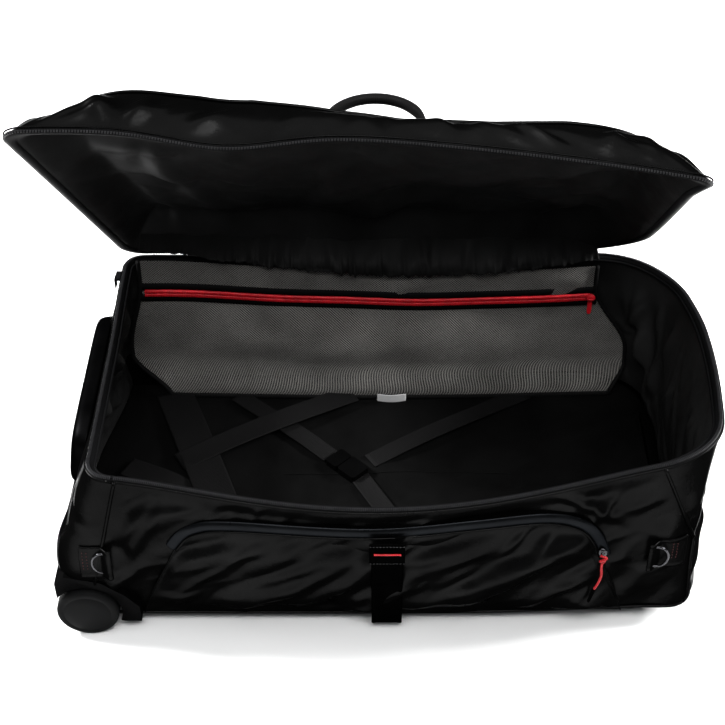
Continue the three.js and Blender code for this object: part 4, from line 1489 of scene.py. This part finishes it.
def make_lid_edges():
    """The piping round the outer panel, and the lid's half of the main zip."""
    lid_up = (0.01, 0.8, 0.6)
    panel_seam, _ = lid_ring(PANEL_INSET, LID_DEPTH + 0.0012, 1.0)
    piping = tube("lid_piping", panel_seam, PIPING, TARPAULIN, closed=True, up=lid_up)
    bend_lid(piping)
    places = ((0.0005, 0.0045), (0.0, 0.001), (0.004, -0.0002), (0.011, 0.002))
    rows = [lid_ring(inset, up, 0.0)[0] for inset, up in places]
    tape = cloth_piece("tape", np.array(rows), ZIP_TAPE, 0.0008, wrap=True, detail=0)
    welt = tube("welt", lid_ring(0.0, 0.0062, 0.0)[0], 0.0010, TARPAULIN, closed=True, up=lid_up)
    edge, _ = lid_ring(0.0010, 0.0018, 0.0)
    tooth = (0.0050, 0.0018, 0.0024)
    teeth = beads("teeth", np.concatenate([edge, edge[:1]]), (0, -0.6, -0.8), 0.0032, tooth, LID_TEETH)
    bend_lid(joined("lid_zip_tape", [tape, welt, teeth]), ["lid_zip"])


def make_hinge_gather():
    """The lid lining's gathered edge: it sags between the hinge's ends and hangs in small tufts."""
    cols, rows = 560, 22
    x = np.linspace(-0.318, 0.286, cols)
    droop = bump(x, 0.045, 0.36)
    low = np.stack([x, np.full(cols, MESH_Y - 0.007) - 0.004 * droop, 0.284 - 0.041 * droop], axis=1)
    up = lid_point(x - lid_shift(x, 0.024), np.full(cols, 0.024), np.full(cols, 0.030))
    gather = crumple(x, x * 0, 91, 300, 0.0001, 0.0040, 0.0020, 90, 10)
    tufts = crumple(x, x * 0, 92, 120, 0.0001, 0.0070, 0.0011, 90, 10)
    grid = []
    for share in np.linspace(0, 1, rows):
        loose = (1 - share) ** 2.2
        point = low * (1 - share) + up * share
        point[:, 1] -= 0.016 * math.sin(math.pi * share) * droop + gather * loose
        point[:, 2] += tufts * (1 - share) ** 3 - 0.006 * math.sin(math.pi * share) * droop
        grid.append(point)
    grid = np.array(grid)
    relief = crumple(grid[..., 0], grid[..., 2], 93, 60, 0.05, 0.012, 0.004, 80, 60)
    grid[..., 1] -= relief * pin_edges(grid.shape)
    # The gather takes the lid lining's darker tone, which is painted shade.
    piece = cloth_piece("hinge_gather", grid, LID_LINING_PAINTED_SHADE, 0.0008, detail=0)
    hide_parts("hinge_strip")
    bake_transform(piece)


def lid_directions():
    """Away from the lid's outer panel, and along it towards its free edge, as the lid rests."""
    angle = math.radians(-LID_JOINT["range_deg"][0])
    away = np.array([0, math.sin(angle), math.cos(angle)])
    return away, np.array([0, -math.cos(angle), math.sin(angle)])


def make_handle_grip():
    """A padded grip over a webbing core, thinner where it enters its anchors."""
    away, _ = lid_directions()
    turn = np.linspace(math.pi, 0, 60)
    rise = HANDLE_RISE * np.sin(turn) ** 0.85
    pivot = np.array(joint_at("carry_handle_swing"))
    line = pivot + np.outer(HANDLE_REACH * np.cos(turn), (1, 0, 0)) + np.outer(rise, away)
    grip = sweep("handle_grip", line, ring(GRIP_RADIUS, 20, 0.85), WEBBING, up=away)
    share = np.linspace(0, 1, len(line))
    resize_rings(grip, line, 0.55 + 0.45 * smooth(np.minimum(share, 1 - share), 0.06, 0.22))
    finish_piece(grip, "carry_handle", ["lid_handle"])


def handle_anchor(side, top):
    """A webbing loop over one end of the grip; top is how high the grip's axis is over the patch."""
    away, forward = lid_directions()
    at = np.array(joint_at("carry_handle_swing")) + (side * (HANDLE_REACH - 0.004), 0, 0)
    arch = np.linspace(0, math.pi, 30)
    across = np.outer(0.0155 * np.cos(arch) ** 3, forward)
    height = np.outer((top + 0.0085) * np.sin(arch) ** 0.7 - top, away)
    return sweep("anchor", at + across + height, band(0.0018, 0.0160, 0.1), WEBBING, up=(1, 0, 0))


def make_handle_patch():
    """The webbing patch under the grip with two rows of stitches, and the grip's sewn anchors."""
    away, forward = lid_directions()
    low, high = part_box("lid_handle_patch")
    centre = np.array([(low.x + high.x) / 2, (low.y + high.y) / 2, (low.z + high.z) / 2])
    half = (high.x - low.x) / 2
    path = centre + np.outer(np.linspace(-half, half, 60), (1, 0, 0)) + away * 0.0006
    patch = sweep("patch", path, band(0.026, 0.0022), WEBBING, up=away)
    seams = []
    for offset in (-0.011, 0.011):
        row = path + forward * offset + away * 0.0016
        seams.append(beads("stitch", row, away, 0.0034, (0.0007, 0.0024, 0.0007), ZIP_TEETH))
    top = float(np.dot(np.array(joint_at("carry_handle_swing")) - path[30], away)) - 0.001
    anchors = [handle_anchor(side, top) for side in (-1, 1)]
    loops = joined("handle_anchor_loops", anchors)
    whole = joined("handle_patch_webbing", [patch, loops, *seams])
    finish_piece(whole, "lid", ["lid_handle_patch"])


# ---------- wheels, feet and trolley ----------
def lathe(name, profile, segments, material, centre, side):
    """A round piece on an axle along Y: profile is (radius, depth outward) from the axis to the axis."""
    turn = np.linspace(0, 2 * math.pi, segments, endpoint=False)
    points = [
        (centre[0] + r * math.cos(t), centre[1] + side * d, centre[2] + side * r * math.sin(t))
        for r, d in profile
        for t in turn
    ]
    return mesh_piece(name, points, capped_faces(len(profile), segments), material)


TYRE_BEVEL = 0.0052


def tyre_profile(radius, width):
    """Half a wheel's section: flat inside, a rounded tread, a groove and a domed cap."""
    tread, face = radius - TYRE_BEVEL, width - TYRE_BEVEL
    arc = [math.radians(a) for a in range(0, 91, 15)]
    groove = width + 0.0002
    profile = [(0.0002, 0), (radius * 0.6, 0), (radius - 0.004, 0.0005), (radius - 0.0012, 0.0022)]
    profile += [(radius, 0.005)]
    profile += [(tread + TYRE_BEVEL * math.cos(a), face + TYRE_BEVEL * math.sin(a)) for a in arc]
    profile += [(radius - 0.0075, groove), (radius - 0.0085, groove - 0.0009), (radius - 0.0095, groove)]
    profile += [(radius * 0.5, width + 0.0012), (radius * 0.2, width + 0.0019), (0.0002, width + 0.0021)]
    return profile


def make_wheels():
    for label, side in (("front", -1), ("rear", 1)):
        low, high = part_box(label + "_wheel_tyre")
        radius = (high.z - low.z) / 2
        centre = ((low.x + high.x) / 2, high.y if side < 0 else low.y, radius)
        profile = tyre_profile(radius, high.y - low.y)
        tyre = lathe(label + "_tyre", profile, 72, TYRE, centre, side)
        finish_piece(tyre, label + "_wheel", [label + "_wheel_tyre", label + "_wheel_hub"])


KEPT_NODES = (  # CAD nodes that stay as they are, with their material and edge width
    ("front_wheel_housing", PLASTIC, 0.0022),
    ("rear_wheel_housing", PLASTIC, 0.0022),
    ("back_tray", PLASTIC, 0.0012),
    ("front_skid_foot", PLASTIC, 0.0018),
    ("rear_skid_foot", PLASTIC, 0.0018),
    ("front_wheel_axle", STEEL, 0.0003),
    ("rear_wheel_axle", STEEL, 0.0003),
    ("front_outer_tube", ALUMINIUM, 0.0003),
    ("rear_outer_tube", ALUMINIUM, 0.0003),
    ("front_middle_tube", ALUMINIUM, 0.0003),
    ("rear_middle_tube", ALUMINIUM, 0.0003),
    ("front_inner_tube", ALUMINIUM, 0.0003),
    ("rear_inner_tube", ALUMINIUM, 0.0003),
    ("trolley_cup", PLASTIC, 0.0010),
    ("trolley_grip", SOFT_RUBBER, 0.0022),
    ("release_button", PLASTIC, 0.0008),
    ("buckle_socket", PLASTIC, 0.0009),
    ("buckle_plug", PLASTIC, 0.0008),
    ("left_main_slider", STEEL, 0.0012),
    ("right_main_slider", STEEL, 0.0012),
    ("left_main_pull", SOFT_RUBBER, 0.0007),
)


def dress_cad_nodes():
    """Gives each CAD node that stays its material and softened edges."""
    for node, material, width in KEPT_NODES:
        piece = frame["nodes"][node]
        piece.data.materials.clear()
        piece.data.materials.append(material)
        edge = piece.modifiers.new("soft edges", "BEVEL")
        edge.width, edge.segments, edge.limit_method = width, 3, "ANGLE"
        edge.angle_limit = math.radians(32)
        piece.data.polygons.foreach_set("use_smooth", [True] * len(piece.data.polygons))
        piece.modifiers.new("shading", "WEIGHTED_NORMAL").keep_sharp = True


FOOT_HALF_HEIGHT = 0.050
FOOT_LEAN = math.atan2(0.036, 0.231)  # the wheel end's wall leans as much
FOOT_PROFILE = (  # how far each ring stands out, and its share of the foot's outline
    (0.0, 1.0),
    (0.002, 1.0),
    (0.0045, 0.99),
    (0.0105, 0.965),
    (0.0150, 0.925),
    (0.0180, 0.86),
    (0.0197, 0.76),
    (0.0204, 0.60),
    (0.0207, 0.35),
    (0.0208, 0.03),
)


def make_standing_foot():
    """A smooth dome that leans with the wheel end's wall, with a pressed border."""
    low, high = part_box("standing_foot")
    middle = Vector(((high.x + low.x) / 2, (low.y + high.y) / 2, (low.z + high.z) / 2 + 0.002))
    half_y = (high.y - low.y) / 2 - 0.003
    outward = np.array([-math.cos(FOOT_LEAN), 0, math.sin(FOOT_LEAN)])
    upward = np.array([math.sin(FOOT_LEAN), 0, math.cos(FOOT_LEAN)])
    turn = np.linspace(0, 2 * math.pi, 96, endpoint=False)
    points = []
    for rise, size in FOOT_PROFILE:
        narrowing = 1 - size
        for t in turn:
            c, s = math.cos(t), math.sin(t)
            y = (half_y - narrowing * FOOT_HALF_HEIGHT * 0.9) * math.copysign(abs(c) ** 0.32, c)
            z = FOOT_HALF_HEIGHT * size * math.copysign(abs(s) ** 0.50, s)
            points.append(np.array(middle) + (0, y, 0) + upward * z + outward * (rise - 0.005))
    for point in points[: len(turn)]:  # its back follows the wall
        point[0] = wheel_end_x(point[1], point[2]) + 0.002
    faces = [f[::-1] for f in capped_faces(len(FOOT_PROFILE), len(turn))]
    piece = mesh_piece("standing_foot_dome", points, faces, PLASTIC)
    piece.modifiers.new("smooth", "SUBSURF").levels = 1
    finish_piece(piece, replaces=["standing_foot"])


# ---------- studio ----------
CAMERA_AIM = Vector((-0.0244, 0.0, 0.2429))
CAMERA_DISTANCE = 1.8373
CAMERA_ELEVATION = math.radians(40.5)
CAMERA_TURN = math.radians(0.6)
CAMERA_ROLL = math.radians(-0.6)
SENSOR = 36  # millimetres
CAMERA_LENS = 1490 / 725 * SENSOR  # a focal length of 1490 pixels in a picture 725 wide
FLOOR_HALF = 9


def make_camera():
    data = bpy.data.cameras.new("camera")
    data.lens, data.sensor_width = CAMERA_LENS, SENSOR
    camera = new_object("camera", data)
    level = math.cos(CAMERA_ELEVATION)
    right, forward = math.sin(CAMERA_TURN) * level, math.cos(CAMERA_TURN) * level
    back = Vector((right, -forward, math.sin(CAMERA_ELEVATION)))
    camera.location = CAMERA_AIM + back * CAMERA_DISTANCE
    camera.rotation_mode = "QUATERNION"
    roll = Quaternion((0, 0, 1), CAMERA_ROLL)
    camera.rotation_quaternion = (-back).to_track_quat("-Z", "Y") @ roll
    bpy.context.scene.camera = camera


def area_light(name, place, aim, size, power):
    data = bpy.data.lights.new(name, "AREA")
    data.shape, data.size, data.size_y, data.energy = "RECTANGLE", size[0], size[1], power
    light = new_object(name, data)
    light.location = place
    light.rotation_mode = "QUATERNION"
    light.rotation_quaternion = (Vector(aim) - Vector(place)).to_track_quat("-Z", "Y")


LIGHTS = (  # name, place, aim, size and watts
    ("overhead", (0, -0.5, 3.0), (0, -0.2, 0), (4.2, 3.4), 62),
    ("front_top", (0.1, -1.7, 2.7), (0, 0.1, 0.1), (1.6, 0.8), 55),
    ("key_left", (-2.1, 0.5, 1.7), (-0.1, 0, 0.3), (0.7, 0.6), 210),
    ("rim_right", (2.2, 0.2, 1.3), (0.1, 0, 0.3), (0.6, 0.7), 150),
)


def make_studio():
    corners = [(x * FLOOR_HALF, y * FLOOR_HALF, 0) for x, y in ((-1, -1), (1, -1), (1, 1), (-1, 1))]
    floor = mesh_piece("floor", corners, [(0, 1, 2, 3)], make_floor())
    for light in LIGHTS:
        area_light(*light)
    world = bpy.data.worlds.new("world")
    bpy.context.scene.world = world
    world.use_nodes = True
    background = world.node_tree.nodes["Background"]
    background.inputs["Color"].default_value = (0.95, 0.97, 1.0, 1)
    background.inputs["Strength"].default_value = 0.24
    bpy.context.scene.view_settings.view_transform = "Standard"


make_camera()
make_studio()
make_walls()
make_base_piping()
make_base_zip()
make_lining_walls()
make_floor_lining()
make_mesh_pocket()
make_mesh_zip()
make_mesh_binding()
make_mesh_slider()
make_label_piece()
make_cross_straps()
make_pocket()
make_pocket_zip()
make_pocket_pull()
make_side_strap()
make_ring("left", -1)
make_ring("right", 1)
make_lid_skirt()
make_lid_panel()
make_lid_lining()
make_lid_edges()
make_hinge_gather()
make_handle_grip()
make_handle_patch()
make_wheels()
make_standing_foot()
dress_cad_nodes()
